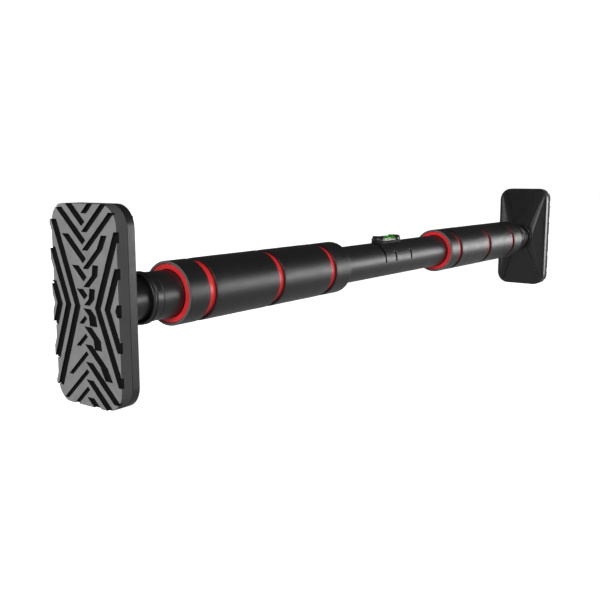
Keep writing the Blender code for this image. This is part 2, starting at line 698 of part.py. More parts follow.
def make_end(side, foot_frame, grip_frame):
    """One complete end: the foot with its neck, and the grip that drives it."""
    make_tread_pad(side, foot_frame)
    make_pad_shell(side, foot_frame)
    make_plate(side, foot_frame)
    make_foot_fasteners(side, foot_frame)
    make_neck(side, foot_frame)
    sleeve = make_collar(side, grip_frame)
    cut(sleeve, make_grip(side, grip_frame))


clear_scene()
PARTS = new_collection("expanding_tension_bar")
CUTTERS = new_collection("cutters")
FOOT_FRAMES = {"near": end_frame("near_foot_frame", -1, 0.0),
               "far": end_frame("far_foot_frame", 1, 0.0)}
GRIP_FRAMES = {"near": end_frame("near_grip_frame", -1, 0.0),
               "far": end_frame("far_grip_frame", 1, FAR_FOOT_OUT)}
for end_side in FOOT_FRAMES:
    make_end(end_side, FOOT_FRAMES[end_side], GRIP_FRAMES[end_side])
make_main_tube()
make_level()
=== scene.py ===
"""Looks of an expanding tension bar: rubber feet, screw necks, foam grips and a spirit level.

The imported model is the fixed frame. Every visible part is modelled again around it with finer
edges, and the parts closed inside keep their frame solids and get a finish. All sizes are in
metres; MM turns millimetres into them.
"""
from __future__ import annotations

import logging
import math
from dataclasses import dataclass
from enum import Enum
from typing import Any, Iterable, Sequence

import bmesh
import bpy
from mathutils import Matrix, Vector

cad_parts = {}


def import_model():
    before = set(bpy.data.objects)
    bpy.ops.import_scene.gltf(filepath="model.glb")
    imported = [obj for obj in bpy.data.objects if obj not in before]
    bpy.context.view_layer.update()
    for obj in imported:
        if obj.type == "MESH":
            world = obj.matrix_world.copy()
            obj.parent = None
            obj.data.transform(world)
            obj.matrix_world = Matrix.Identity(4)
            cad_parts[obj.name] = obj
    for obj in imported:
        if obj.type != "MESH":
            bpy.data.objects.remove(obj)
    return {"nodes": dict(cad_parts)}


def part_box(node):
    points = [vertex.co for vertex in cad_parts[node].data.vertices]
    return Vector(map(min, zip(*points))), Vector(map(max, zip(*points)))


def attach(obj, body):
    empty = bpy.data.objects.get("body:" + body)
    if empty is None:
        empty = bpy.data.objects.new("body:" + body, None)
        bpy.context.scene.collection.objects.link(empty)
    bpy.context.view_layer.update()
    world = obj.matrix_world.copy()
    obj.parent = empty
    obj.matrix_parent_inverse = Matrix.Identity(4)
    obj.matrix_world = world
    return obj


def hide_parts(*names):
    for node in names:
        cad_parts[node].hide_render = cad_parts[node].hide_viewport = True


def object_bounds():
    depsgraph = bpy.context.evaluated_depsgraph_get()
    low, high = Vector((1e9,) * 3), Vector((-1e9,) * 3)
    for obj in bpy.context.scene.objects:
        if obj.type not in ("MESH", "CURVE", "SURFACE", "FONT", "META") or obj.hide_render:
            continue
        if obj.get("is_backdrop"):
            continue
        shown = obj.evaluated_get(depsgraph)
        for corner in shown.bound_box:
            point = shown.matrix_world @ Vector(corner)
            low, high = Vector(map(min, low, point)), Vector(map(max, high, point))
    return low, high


LOG = logging.getLogger("tension_bar")

MM = 0.001
FULL_TURN = math.tau
# Vertices and places closer than this are the same
SAME = 1e-6
# Angle in degrees past which an edge stays sharp in the shading
CREASE = 38.0

Point2 = tuple[float, float]


# ------------------------------------------------------------------ colour and nodes

def linear(hex_colour: str, alpha: float = 1.0) -> tuple[float, float, float, float]:
    """Turn an sRGB hex colour into linear values.

    Args:
        hex_colour: Colour such as "#1d1d1f".
        alpha: Fourth value of the result.

    Returns:
        Red, green, blue and alpha.
    """
    channels = [int(hex_colour[place:place + 2], 16) / 255 for place in (1, 3, 5)]
    red, green, blue = (value / 12.92 if value <= 0.04045 else ((value + 0.055) / 1.055) ** 2.4
                        for value in channels)
    return red, green, blue, alpha


def add_node(tree: bpy.types.NodeTree, kind: str, settings: dict[str, Any] | None = None,
             links: dict[str | int, Any] | None = None) -> bpy.types.Node:
    """Add one shader node with its settings and its inputs.

    Args:
        tree: Node tree that gets the node.
        kind: The node's type name without "ShaderNode".
        settings: Properties of the node, by name.
        links: For each input, by name or number, a value or the output socket that feeds it.

    Returns:
        The new node.
    """
    node = tree.nodes.new("ShaderNode" + kind)
    for name, value in (settings or {}).items():
        setattr(node, name, value)
    for name, value in (links or {}).items():
        if isinstance(value, bpy.types.NodeSocket):
            tree.links.new(value, node.inputs[name])
        else:
            node.inputs[name].default_value = value
    return node


def set_ramp(node: bpy.types.Node, stops: Sequence[tuple[float, Any]]) -> bpy.types.NodeSocket:
    """Fill a colour ramp.

    Args:
        node: The ramp node.
        stops: Places from 0 to 1 with a colour or a grey value for each.

    Returns:
        The ramp's colour output.
    """
    elements = node.color_ramp.elements
    while len(elements) < len(stops):
        elements.new(0.5)
    for element, (place, value) in zip(elements, stops):
        element.position = place
        element.color = value if isinstance(value, tuple) else (value, value, value, 1.0)
    return node.outputs["Color"]


# ------------------------------------------------------------------ finishes

@dataclass(frozen=True)
class Finish:
    """A surface finish: its base colour, its gloss, and the grain that breaks it up.

    Attributes:
        name: What the real material is and how its surface was made.
        colour: Base colour as sRGB hex.
        tint: Second colour that large soft patches drift towards.
        roughness: Lowest and highest roughness.
        metallic: 1 for bare metal.
        ior: Index of refraction of the surface.
        grain: Size of the fine grain.
        relief: Height of the fine grain.
        patch: Size of the soft patches.
        stretch: Scale of the pattern along X, Y and Z, to draw a grain out along an axis.
    """

    name: str
    colour: str
    tint: str
    roughness: Point2
    metallic: float = 0.0
    ior: float = 1.5
    grain: float = 0.6 * MM
    relief: float = 0.03 * MM
    patch: float = 18 * MM
    stretch: tuple[float, float, float] = (1.0, 1.0, 1.0)

    def material(self) -> bpy.types.Material:
        """Build the node material, or return it if it is already there."""
        made = bpy.data.materials.get(self.name)
        if made:
            return made
        made = bpy.data.materials.new(self.name)
        made.use_nodes = True
        tree = made.node_tree
        shader = tree.nodes["Principled BSDF"]
        shader.inputs["Metallic"].default_value = self.metallic
        if not self.metallic:
            shader.inputs["IOR"].default_value = self.ior
        made.diffuse_color = linear(self.colour)
        spot = add_node(tree, "TexCoord").outputs["Object"]
        mapping = add_node(tree, "Mapping", links={"Vector": spot, "Scale": self.stretch})
        self.dress(tree, shader, mapping.outputs[0])
        return made

    def noise(self, tree: bpy.types.NodeTree, place: bpy.types.NodeSocket, size: float,
              detail: float = 3.0) -> bpy.types.NodeSocket:
        """Noise whose blobs are about one size across.

        Args:
            tree: The material's nodes.
            place: Coordinates in metres.
            size: Distance from blob to blob.
            detail: How many finer layers it has.

        Returns:
            The noise value, around 0.5.
        """
        return add_node(tree, "TexNoise", links={"Vector": place, "Scale": 1 / size,
                                                 "Detail": detail}).outputs["Fac"]

    def dress(self, tree: bpy.types.NodeTree, shader: bpy.types.Node,
              place: bpy.types.NodeSocket) -> None:
        """Wire colour, roughness and bump into the shader.

        Args:
            tree: The material's nodes.
            shader: Its Principled shader.
            place: Coordinates in metres.
        """
        patches = self.noise(tree, place, self.patch)
        colour = set_ramp(add_node(tree, "ValToRGB", links={"Fac": patches}),
                          [(0.35, linear(self.colour)), (0.68, linear(self.tint))])
        tree.links.new(colour, shader.inputs["Base Color"])
        fine = self.grain_height(tree, place)
        rough = add_node(tree, "MapRange", links={
            "Value": self.noise(tree, place, self.patch * 0.35), "From Min": 0.3, "From Max": 0.7,
            "To Min": self.roughness[0], "To Max": self.roughness[1]})
        tree.links.new(rough.outputs[0], shader.inputs["Roughness"])
        bump = add_node(tree, "Bump", links={"Height": fine, "Distance": self.relief,
                                             "Strength": 1.0})
        tree.links.new(bump.outputs[0], shader.inputs["Normal"])

    def grain_height(self, tree: bpy.types.NodeTree,
                     place: bpy.types.NodeSocket) -> bpy.types.NodeSocket:
        """Height of the fine grain, from 0 to 1."""
        return self.noise(tree, place, self.grain)


@dataclass(frozen=True)
class CellFoam(Finish):
    """Closed-cell foam whose skin was ground off: tiny open cells over a dull, even black."""

    cell: float = 0.9 * MM

    def grain_height(self, tree: bpy.types.NodeTree,
                     place: bpy.types.NodeSocket) -> bpy.types.NodeSocket:
        """Cells of two sizes, with soft noise between them."""
        cells = add_node(tree, "TexVoronoi", {"feature": "F1"},
                         {"Vector": place, "Scale": 1 / self.cell}).outputs["Distance"]
        small = add_node(tree, "TexVoronoi", {"feature": "F1"},
                         {"Vector": place, "Scale": 2.3 / self.cell}).outputs["Distance"]
        both = add_node(tree, "Math", {"operation": "ADD"}, {0: cells, 1: small}).outputs[0]
        soft = self.noise(tree, place, self.grain, detail=5.0)
        return add_node(tree, "Math", {"operation": "MULTIPLY_ADD"},
                        {0: soft, 1: 1.4, 2: both}).outputs[0]


@dataclass(frozen=True)
class ScuffedMetal(Finish):
    """Metal with fine scratches of every direction over a plated or coated ground."""

    scratch: float = 2.2 * MM

    def grain_height(self, tree: bpy.types.NodeTree,
                     place: bpy.types.NodeSocket) -> bpy.types.NodeSocket:
        """Orange peel with thin scratch lines across it."""
        ground = self.noise(tree, place, self.grain)
        wave = add_node(tree, "TexWave", {"wave_type": "BANDS", "bands_direction": "DIAGONAL"},
                        {"Vector": place, "Scale": 0.3 / self.scratch, "Distortion": 14.0,
                         "Detail": 4.0}).outputs["Fac"]
        line = set_ramp(add_node(tree, "ValToRGB", links={"Fac": wave}),
                        [(0.0, 0.0), (0.025, 1.0)])
        return add_node(tree, "Math", {"operation": "MULTIPLY_ADD"},
                        {0: line, 1: 0.35, 2: ground}).outputs[0]


@dataclass(frozen=True)
class ClearFinish(Finish):
    """Clear acrylic or dyed fluid: light passes, and the base colour dyes it."""

    transmission: float = 1.0

    def dress(self, tree: bpy.types.NodeTree, shader: bpy.types.Node,
              place: bpy.types.NodeSocket) -> None:
        """Set the transmission on the shader and keep a faint unevenness of the gloss."""
        shader.inputs["Transmission Weight"].default_value = self.transmission
        shader.inputs["Base Color"].default_value = linear(self.colour)
        rough = add_node(tree, "MapRange", links={
            "Value": self.noise(tree, place, self.patch), "To Min": self.roughness[0],
            "To Max": self.roughness[1]})
        tree.links.new(rough.outputs[0], shader.inputs["Roughness"])


@dataclass(frozen=True)
class FluidWithPaintedLight(ClearFinish):
    """Dyed fluid coloured by height with painted light and shade: pale at its bottom, deep at its
    top.

    Attributes:
        bottom: Height where it is palest.
        top: Height where it is deepest.
        lower: Colour a little under half-way up, as sRGB hex.
        upper: Colour at the top.
    """

    bottom: float = 17.9 * MM
    top: float = 20.6 * MM
    lower: str = "#b6e07c"
    upper: str = "#2f9a26"

    def dress(self, tree: bpy.types.NodeTree, shader: bpy.types.Node,
              place: bpy.types.NodeSocket) -> None:
        """Set the clear finish, then paint light and shade into its colour by height."""
        super().dress(tree, shader, place)
        height = add_node(tree, "SeparateXYZ", links={0: place}).outputs["Z"]
        rise = add_node(tree, "MapRange", links={"Value": height, "From Min": self.bottom,
                                                 "From Max": self.top}).outputs[0]
        colour = set_ramp(add_node(tree, "ValToRGB", links={"Fac": rise}), [
            (0.0, linear(self.tint)), (0.42, linear(self.lower)), (0.56, linear(self.colour)),
            (1.0, linear(self.upper))])
        tree.links.new(colour, shader.inputs["Base Color"])


@dataclass(frozen=True)
class LitFloor(Finish):
    """Painted floor with an even glow of its own, like a translucent light table."""

    glow: float = 0.96

    def dress(self, tree: bpy.types.NodeTree, shader: bpy.types.Node,
              place: bpy.types.NodeSocket) -> None:
        """Dress the paint, then add the glow."""
        super().dress(tree, shader, place)
        shader.inputs["Emission Color"].default_value = linear("#ffffff")
        shader.inputs["Emission Strength"].default_value = self.glow


class Finishes(Enum):
    """The finishes of the bar, each named for the real material and for the painted sheen or shade
    that some of them carry.
    """

    # Moulded black rubber: the lands' grey is a painted sheen standing in for a soft box's
    # reflection, the grooves' near-black is painted shade, and the side is a dull charcoal with no
    # highlight
    LAND = Finish("moulded rubber, worn land", "#8f8f8f", "#858585", (0.55, 0.72), ior=1.52,
                  grain=0.5 * MM, relief=0.035 * MM, patch=9 * MM)
    GROOVE = Finish("moulded rubber, groove", "#080808", "#060606", (0.8, 0.9), ior=1.35,
                    grain=0.6 * MM, relief=0.03 * MM)
    RUBBER_SIDE = Finish("moulded rubber, side", "#474747", "#424242", (0.86, 0.95), ior=1.3,
                         grain=0.7 * MM, relief=0.03 * MM, patch=22 * MM)
    # Black ABS from a spark-eroded mould: a fine even grain that still holds a soft highlight
    ABS = Finish("ABS, spark-textured moulding", "#161617", "#1a1a1b", (0.34, 0.42), ior=1.54,
                 grain=0.45 * MM, relief=0.022 * MM)
    # The saddle's mould is rougher, so it stays dull beside the caps
    COARSE_ABS = Finish("ABS, coarse moulding", "#111112", "#141415", (0.7, 0.8), ior=1.4,
                        grain=0.5 * MM, relief=0.03 * MM)
    # Smoother mould and grey pigment: the rails catch the light as two pale strips
    GREY_ABS = Finish("ABS, satin grey moulding", "#a2a29e", "#9a9a96", (0.34, 0.44), ior=1.54,
                      grain=0.5 * MM, relief=0.01 * MM)
    # Powder coat: orange peel about a millimetre across under a satin sheen
    POWDER = ScuffedMetal("steel tube, satin powder coat", "#141415", "#171718", (0.37, 0.45),
                          ior=1.56, grain=1.1 * MM, relief=0.012 * MM, patch=30 * MM)
    # The thread is bare oiled steel with a blackened skin
    BLACK_OXIDE = ScuffedMetal("steel screw, black oxide", "#34343a", "#2b2b30", (0.28, 0.42),
                               metallic=1.0, grain=0.8 * MM, relief=0.01 * MM)
    # Grinding closes the cells into a dense skin with a low, even sheen
    FOAM = CellFoam("NBR foam, ground skin", "#151515", "#181818", (0.33, 0.41), ior=1.5,
                    grain=0.5 * MM, relief=0.05 * MM, patch=24 * MM)
    # The knife leaves open cells that look lighter than the ground skin
    CUT_FOAM = CellFoam("NBR foam, cut end", "#626262", "#5a5a5a", (0.5, 0.6), ior=1.5,
                        grain=0.5 * MM, relief=0.05 * MM, patch=6 * MM)
    # Polished mould, saturated pigment: the red stays bright where it shows between the foam
    RED = Finish("polypropylene, semi-gloss moulding", "#ee2a30", "#e4242a", (0.3, 0.42), ior=1.49,
                 grain=0.9 * MM, relief=0.012 * MM)
    # Bright zinc has a faint blue cast and a fine tumbled surface
    ZINC = ScuffedMetal("steel, bright zinc plate", "#c9ccd1", "#bcc0c6", (0.22, 0.36),
                        metallic=1.0, grain=0.6 * MM, relief=0.008 * MM, patch=6 * MM)
    # Undyed nylon is a waxy off-white
    NYLON = Finish("nylon 6, natural moulding", "#e6e3d8", "#dedbcf", (0.38, 0.5), ior=1.53,
                   grain=0.8 * MM, relief=0.01 * MM)
    # Polished acrylic: clear, with small hard highlights
    ACRYLIC = ClearFinish("acrylic vial, polished", "#f2fff0", "#f2fff0", (0.01, 0.03), ior=1.49)
    # Green dye with painted light and shade by height: pale at the bottom, deep green above
    FLUID = FluidWithPaintedLight("spirit fluid, dyed green", "#0f5a10", "#e4f6c4", (0.05, 0.1), ior=1.36,
                      transmission=0.2)
    # Air in the fluid reads as a lighter green lens
    BUBBLE = ClearFinish("air bubble in the fluid", "#e6ffd0", "#e6ffd0", (0.0, 0.02), ior=1.15,
                         transmission=0.3)
    # Dead matt black: print on the vial's rings, and painted shade on the floors and walls of the
    # tube's marks
    INK = Finish("fill-in paint, dead matt", "#030303", "#050505", (0.85, 0.95), ior=1.2,
                 grain=0.3 * MM, relief=0.004 * MM)
    # Matt white paint lit evenly from below: no edge or corner shows
    FLOOR = LitFloor("studio floor, painted", "#f5f5f5", "#f3f3f3", (0.6, 0.7), grain=2 * MM,
                     relief=0.01 * MM, patch=400 * MM)

    @property
    def material(self) -> bpy.types.Material:
        """The finish's node material."""
        return self.value.material()


# ------------------------------------------------------------------ mesh tools

@dataclass(frozen=True)
class Corner:
    """A corner of a turned profile.

    Attributes:
        radius: Distance from the bar's axis.
        station: Place along the axis.
        rounding: Radius that the corner is rounded to.
    """

    radius: float
    station: float
    rounding: float = 0.0


def rounded_profile(corners: Sequence[Corner], closed: bool, segments: int = 5) -> list[Point2]:
    """Round the corners of a profile with arcs.

    Args:
        corners: The profile's corners in order.
        closed: Whether the last corner joins the first.
        segments: Straight pieces in each arc.

    Returns:
        Points as (radius, station).
    """
    points: list[Point2] = []
    count = len(corners)
    # Largest share of a straight piece that the arc at one of its ends may take
    room = 0.45
    for index, corner in enumerate(corners):
        here = Vector((corner.radius, corner.station))
        at_end = not closed and index in (0, count - 1)
        if not corner.rounding or at_end:
            points.append((here.x, here.y))
            continue
        before = corners[index - 1]
        after = corners[(index + 1) % count]
        back = Vector((before.radius, before.station)) - here
        ahead = Vector((after.radius, after.station)) - here
        half_angle = back.angle(ahead) / 2
        reach = min(corner.rounding / math.tan(half_angle),
                    back.length * room, ahead.length * room)
        radius = reach * math.tan(half_angle)
        start = here + back.normalized() * reach
        centre = here + (back.normalized() + ahead.normalized()).normalized() * (
            radius / math.sin(half_angle))
        sweep = (start - centre).angle_signed(here + ahead.normalized() * reach - centre)
        for step in range(segments + 1):
            arm = (start - centre).copy()
            arm.rotate(Matrix.Rotation(-sweep * step / segments, 2))
            points.append(tuple(centre + arm))
    return points


def spun(profile: Sequence[Point2], steps: int = 96, closed: bool = True) -> bmesh.types.BMesh:
    """Spin a profile a full turn about Z.

    Args:
        profile: Points as (radius, station).
        steps: Faces round the turn.
        closed: Whether the profile is a loop; an open one starts and ends on the axis.

    Returns:
        The turned solid.
    """
    bm = bmesh.new()
    verts = [bm.verts.new((radius, 0.0, station)) for radius, station in profile]
    edges = [bm.edges.new(pair) for pair in zip(verts, verts[1:])]
    if closed:
        edges.append(bm.edges.new((verts[-1], verts[0])))
    bmesh.ops.spin(bm, geom=verts + edges, cent=(0, 0, 0), axis=(0, 0, 1), angle=FULL_TURN,
                   steps=steps, use_merge=True)
    bmesh.ops.remove_doubles(bm, verts=bm.verts, dist=SAME)
    return bm


def prism(bm: bmesh.types.BMesh, outline: Sequence[Point2], start: float, end: float) -> None:
    """Extrude an outline from one height to another.

    Args:
        bm: Mesh that gets the prism.
        outline: Points as (x, y).
        start: Height of the first face.
        end: Height of the last face.
    """
    face = bm.faces.new([bm.verts.new((x, y, start)) for x, y in outline])
    grown = bmesh.ops.extrude_face_region(bm, geom=[face])
    top = [item for item in grown["geom"] if isinstance(item, bmesh.types.BMVert)]
    bmesh.ops.translate(bm, verts=top, vec=(0, 0, end - start))


def rounded_slab(bm: bmesh.types.BMesh, size: Vector, corner: float, centre: Vector,
                 segments: int = 12) -> None:
    """Box whose four upright edges are rounded.

    Args:
        bm: Mesh that gets the slab.
        size: Its lengths along X, Y and Z.
        corner: Radius of the upright edges.
        centre: Its middle.
        segments: Faces round each corner.
    """
    made = bmesh.ops.create_cube(bm, size=1.0)
    bmesh.ops.scale(bm, verts=made["verts"], vec=size)
    bmesh.ops.translate(bm, verts=made["verts"], vec=centre)
    new = set(made["verts"])
    upright = [edge for edge in bm.edges if edge.verts[0] in new
               and abs((edge.verts[0].co - edge.verts[1].co).z) > size.z * 0.9]
    bmesh.ops.bevel(bm, geom=upright, offset=corner, offset_type="OFFSET", segments=segments,
                    profile=0.5, affect="EDGES", clamp_overlap=False, material=-1)


def to_object(bm: bmesh.types.BMesh, name: str, placing: Matrix,
              finishes: Sequence[Finishes], crease: float = CREASE) -> bpy.types.Object:
    """Turn a bmesh into an object at the origin, with its place in its mesh.

    Args:
        bm: The shape, which is used up.
        name: The piece's name.
        placing: Where the shape goes.
        finishes: Its materials, in slot order.
        crease: Angle in degrees past which an edge stays sharp.

    Returns:
        The new object.
    """
    bmesh.ops.recalc_face_normals(bm, faces=bm.faces)
    bmesh.ops.transform(bm, matrix=placing, verts=bm.verts)
    mesh = bpy.data.meshes.new(name)
    bm.to_mesh(mesh)
    bm.free()
    mesh.shade_smooth()
    mesh.set_sharp_from_angle(angle=math.radians(crease))
    obj = bpy.data.objects.new(name, mesh)
    bpy.context.scene.collection.objects.link(obj)
    for finish in finishes:
        mesh.materials.append(finish.material)
    return obj


def bake_modifiers(obj: bpy.types.Object, crease: float = CREASE) -> None:
    """Apply an object's modifiers to its mesh.

    Args:
        obj: The piece.
        crease: Angle in degrees past which an edge stays sharp.
    """
    graph = bpy.context.evaluated_depsgraph_get()
    mesh = bpy.data.meshes.new_from_object(obj.evaluated_get(graph))
    old = obj.data
    obj.modifiers.clear()
    obj.data = mesh
    bpy.data.meshes.remove(old)
    mesh.shade_smooth()
    mesh.set_sharp_from_angle(angle=math.radians(crease))


def combine(obj: bpy.types.Object, tools: Iterable[tuple[bpy.types.Object, str]]) -> None:
    """Cut or join tool shapes into an object, then remove the tools.

    Args:
        obj: The piece.
        tools: Each tool with DIFFERENCE or UNION.
    """
    tools = list(tools)
    for tool, operation in tools:
        modifier = obj.modifiers.new(tool.name, "BOOLEAN")
        modifier.operation = operation
        modifier.solver = "EXACT"
        modifier.use_self = True
        modifier.object = tool
    bake_modifiers(obj)
    for tool, _ in tools:
        bpy.data.objects.remove(tool, do_unlink=True)


def break_edges(obj: bpy.types.Object, width: float, segments: int = 2,
                angle: float = 30.0) -> None:
    """Round an object's sharp edges and keep its flat faces flat in the shading.

    Args:
        obj: The piece.
        width: Width of the rounding.
        segments: Faces across it.
        angle: Angle in degrees past which an edge counts as sharp.
    """
    bevel = obj.modifiers.new("edges", "BEVEL")
    bevel.width = width
    bevel.segments = segments
    bevel.limit_method = "ANGLE"
    bevel.angle_limit = math.radians(angle)
    bevel.miter_outer = "MITER_ARC"
    bake_modifiers(obj)
    weigh_normals(obj)


def weigh_normals(obj: bpy.types.Object) -> None:
    """Let large faces set the shading, so that rounded edges don't darken them."""
    weighted = obj.modifiers.new("normals", "WEIGHTED_NORMAL")
    weighted.keep_sharp = True
    weighted.weight = 60


# ------------------------------------------------------------------ frame of each end

def extent(node: str) -> tuple[Vector, Vector]:
    """Lowest and highest corners of a frame node at rest."""
    low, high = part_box(node)
    return Vector(low), Vector(high)


class Side(Enum):
    """The two ends of the bar."""

    NEAR = -1
    FAR = 1

    @property
    def label(self) -> str:
        """Start of the names of this end's nodes."""
        return self.name.lower()

    def placing(self, half_length: float) -> Matrix:
        """Matrix from the end's own frame, whose +Z runs inwards from its tread face."""
        turn = Matrix.Rotation(math.radians(-90 * self.value), 4, "Y")
        return Matrix.Translation((self.value * half_length, 0, 0)) @ turn


@dataclass(frozen=True)
class Span:
    """Stretch of the axis that a round node holds, from its end's tread face inwards.

    Attributes:
        start: Outer end of the stretch.
        end: Inner end of the stretch.
        radius: The node's outer radius.
    """

    start: float
    end: float
    radius: float

    @property
    def length(self) -> float:
        """Length of the stretch."""
        return self.end - self.start

    @classmethod
    def of(cls, node: str, side: Side, half_length: float) -> Span:
        """Read a node's stretch from the frame.

        Args:
            node: The node's name.
            side: The end it belongs to.
            half_length: Half the length of the whole bar.

        Returns:
            Its stretch in the end's own frame.
        """
        low, high = extent(node)
        ends = sorted(half_length - side.value * x for x in (low.x, high.x))
        return cls(ends[0], ends[1], (high.z - low.z) / 2)


def show(piece: bpy.types.Object, body: str, nodes: Sequence[str]) -> None:
    """Tell the frame what a piece moves with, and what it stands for.

    Args:
        piece: The finished piece.
        body: Body that it rides on.
        nodes: Nodes that it replaces.
    """
    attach(piece, body)
    if nodes:
        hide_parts(*nodes)
    LOG.info("%s rides on %s", piece.name, body)


@dataclass
class EndAssembly:
    """What a foot and a grip share: their end of the bar, its frame, and turned pieces.

    Attributes:
        side: The end it is on.
        half_length: Half the length of the whole bar.
    """

    side: Side
    half_length: float

    def __post_init__(self) -> None:
        """Work out the names and the placing of this end."""
        self.label = self.side.label
        self.placing = self.side.placing(self.half_length)

    def span(self, part: str) -> Span:
        """Stretch of one of this end's nodes."""
        return Span.of(f"{self.label}_{part}", self.side, self.half_length)

    def turn_piece(self, name: str, part: str, corners: Sequence[Corner], finish: Finishes,
                   slot: str, steps: int = 96) -> None:
        """Spin a closed profile into a piece that stands for a node.

        Args:
            name: The piece's name without its end.
            part: The node's name without its end.
            corners: The profile's corners.
            finish: Its finish.
            slot: Not used.
            steps: Faces round the turn.
        """
        piece = to_object(spun(rounded_profile(corners, closed=True), steps),
                          f"{self.label}_{name}", self.placing, [finish])
        weigh_normals(piece)
        show(piece, self.body, [f"{self.label}_{part}"])


# ------------------------------------------------------------------ tread pattern

@dataclass(frozen=True)
class TreadPattern:
    """Grooves of a tread face: V arms down the middle and flat chevrons down both sides.

    The arms of the +Y side are straight. Those of the -Y side sit about half a pitch lower, and
    the three next to the middle turn upwards at their outer end. The lower half mirrors the upper.

    Attributes:
        pitch: From arm to arm, along the height.
        slope: Rise of an arm for each unit of width.
        straight: Width of a +Y arm across the pad, in the +X half and in the -X half.
        kinked: The same of a -Y arm.
        chevron: Width of a chevron, measured across the pad.
        chevron_centre: The chevrons' line of symmetry.
        depth: Depth of every groove.
        lug: Width of the rubber outside a chevron where it leaves the land, on the +Y and
            the -Y side.
    """

    pitch: float = 11 * MM
    slope: float = 0.92
    straight: Point2 = (4.1 * MM, 6.4 * MM)
    kinked: Point2 = (6.8 * MM, 5.3 * MM)
    chevron: float = 5.4 * MM
    chevron_centre: float = -2.5 * MM
    depth: float = 1.8 * MM
    lug: Point2 = (2.5 * MM, 0.5 * MM)

    def straight_arms(self) -> list[list[Point2]]:
        """Centre lines of the +Y arms, as (height, width) points."""
        reaches = (3.8 * MM, 7.2 * MM, 15.6 * MM, 21 * MM, 16 * MM)
        lines = []
        for index, reach in enumerate(reaches):
            root = 7.2 * MM + index * self.pitch
            lines.append([(root, 0.2 * MM), (root + reach * self.slope, 0.2 * MM + reach)])
        return lines

    def kinked_arms(self) -> list[list[Point2]]:
        """Centre lines of the -Y arms, as (height, width) points."""
        reaches = (4.5 * MM, 8.2 * MM, 13.5 * MM, 25 * MM, 20 * MM, 10 * MM)
        tails = ((6.3 * MM, 1 * MM), (6.2 * MM, 0.9 * MM), (8.2 * MM, 4.3 * MM))
        lines = []
        for index, reach in enumerate(reaches):
            root = 1 * MM + index * self.pitch
            line = [(root, -2 * MM), (root + reach * self.slope, -2 * MM - reach)]
            if index < len(tails):
                rise, drift = tails[index]
                line.append((line[-1][0] + rise, line[-1][1] - drift))
            lines.append(line)
        return lines

    def chevrons(self, side: int) -> list[list[Point2]]:
        """Centre lines of one side's chevrons, over the whole height.

        Args:
            side: 1 for the +Y side, -1 for the other.

        Returns:
            Lines of (height, width) points, from the innermost one outwards.
        """
        if side > 0:
            apexes = (9.15 * MM, 17.85 * MM, 26.25 * MM)
            slope, halves = 2.62, (52 * MM, 35 * MM, 14 * MM)
        else:
            apexes = (9.35 * MM, 18.1 * MM, 27.6 * MM)
            slope, halves = 2.42, (46 * MM, 25 * MM, 3.8 * MM)
        lines = []
        for apex, half in zip(apexes, halves):
            middle = self.chevron_centre + side * apex
            end = middle + side * half / slope
            lines.append([(half, end), (0.0, middle), (-half, end)])
        return lines

    def cutter(self) -> bmesh.types.BMesh:
        """Every groove as a solid that stands out past the tread face, at height zero."""
        bm = bmesh.new()
        proud = -1 * MM
        for flip, straight, kinked in zip((1, -1), self.straight, self.kinked):
            for line in self.straight_arms():
                self.strip(bm, [(flip * x, y) for x, y in line], straight, proud, self.depth,
                           skew=flip * self.slope)
            for line in self.kinked_arms():
                self.strip(bm, [(flip * x, y) for x, y in line], kinked, proud, self.depth)
            for line in self.chevrons(flip):
                self.strip(bm, line, self.chevron, proud, self.depth)
        return bm

    def lugs(self) -> bmesh.types.BMesh:
        """Rubber beside each chevron: a strip wider than its groove on the outer side."""
        bm = bmesh.new()
        for side, extra in zip((1, -1), self.lug):
            for line in self.chevrons(side):
                moved = [(x, y + side * extra / 2) for x, y in line]
                self.strip(bm, moved, self.chevron + extra, -3 * MM, 9 * MM)
        return bm

    def strip(self, bm: bmesh.types.BMesh, line: Sequence[Point2], width: float, top: float,
              bottom: float, skew: float = 0.0) -> None:
        """Sweep a level edge along a centre line and give the strip a depth.

        Args:
            bm: Mesh that gets the strip.
            line: Centre line as (height, width) points.
            width: Length of the swept edge, across the pad.
            top: Station of its upper face.
            bottom: Station of its lower face.
            skew: Slope of its first end, or 0 for a level one.
        """
        x, y = line[0]
        first = bm.verts.new((x, y + width / 2, top))
        edge = bm.edges.new([first, bm.verts.new((x, y - width / 2, top))])
        faces = []
        for (x0, y0), (x1, y1) in zip(line, line[1:]):
            grown = bmesh.ops.extrude_edge_only(bm, edges=[edge])["geom"]
            verts = [item for item in grown if isinstance(item, bmesh.types.BMVert)]
            bmesh.ops.translate(bm, verts=verts, vec=(x1 - x0, y1 - y0, 0))
            edge = next(item for item in grown if isinstance(item, bmesh.types.BMEdge)
                        and all(vert in verts for vert in item.verts))
            faces += [item for item in grown if isinstance(item, bmesh.types.BMFace)]
        if skew:
            first.co.x -= skew * width / 2
            first.co.y -= width / 2
        grown = bmesh.ops.extrude_face_region(bm, geom=faces)["geom"]
        deep = [item for item in grown if isinstance(item, bmesh.types.BMVert)]
        bmesh.ops.translate(bm, verts=deep, vec=(0, 0, bottom - top))

    def in_chevron(self, x: float, y: float, margin: float) -> bool:
        """Whether a point lies in a chevron's groove or on its walls.

        Args:
            x: Its place along the height.
            y: Its place along the width.
            margin: How far outside the groove still counts.
        """
        for side in (1, -1):
            for (half, end), (_, middle), _ in self.chevrons(side):
                centre = middle + (end - middle) * abs(x) / half
                if abs(x) <= half + margin and abs(y - centre) <= self.chevron / 2 + margin:
                    return True
        return False


# ------------------------------------------------------------------ foot

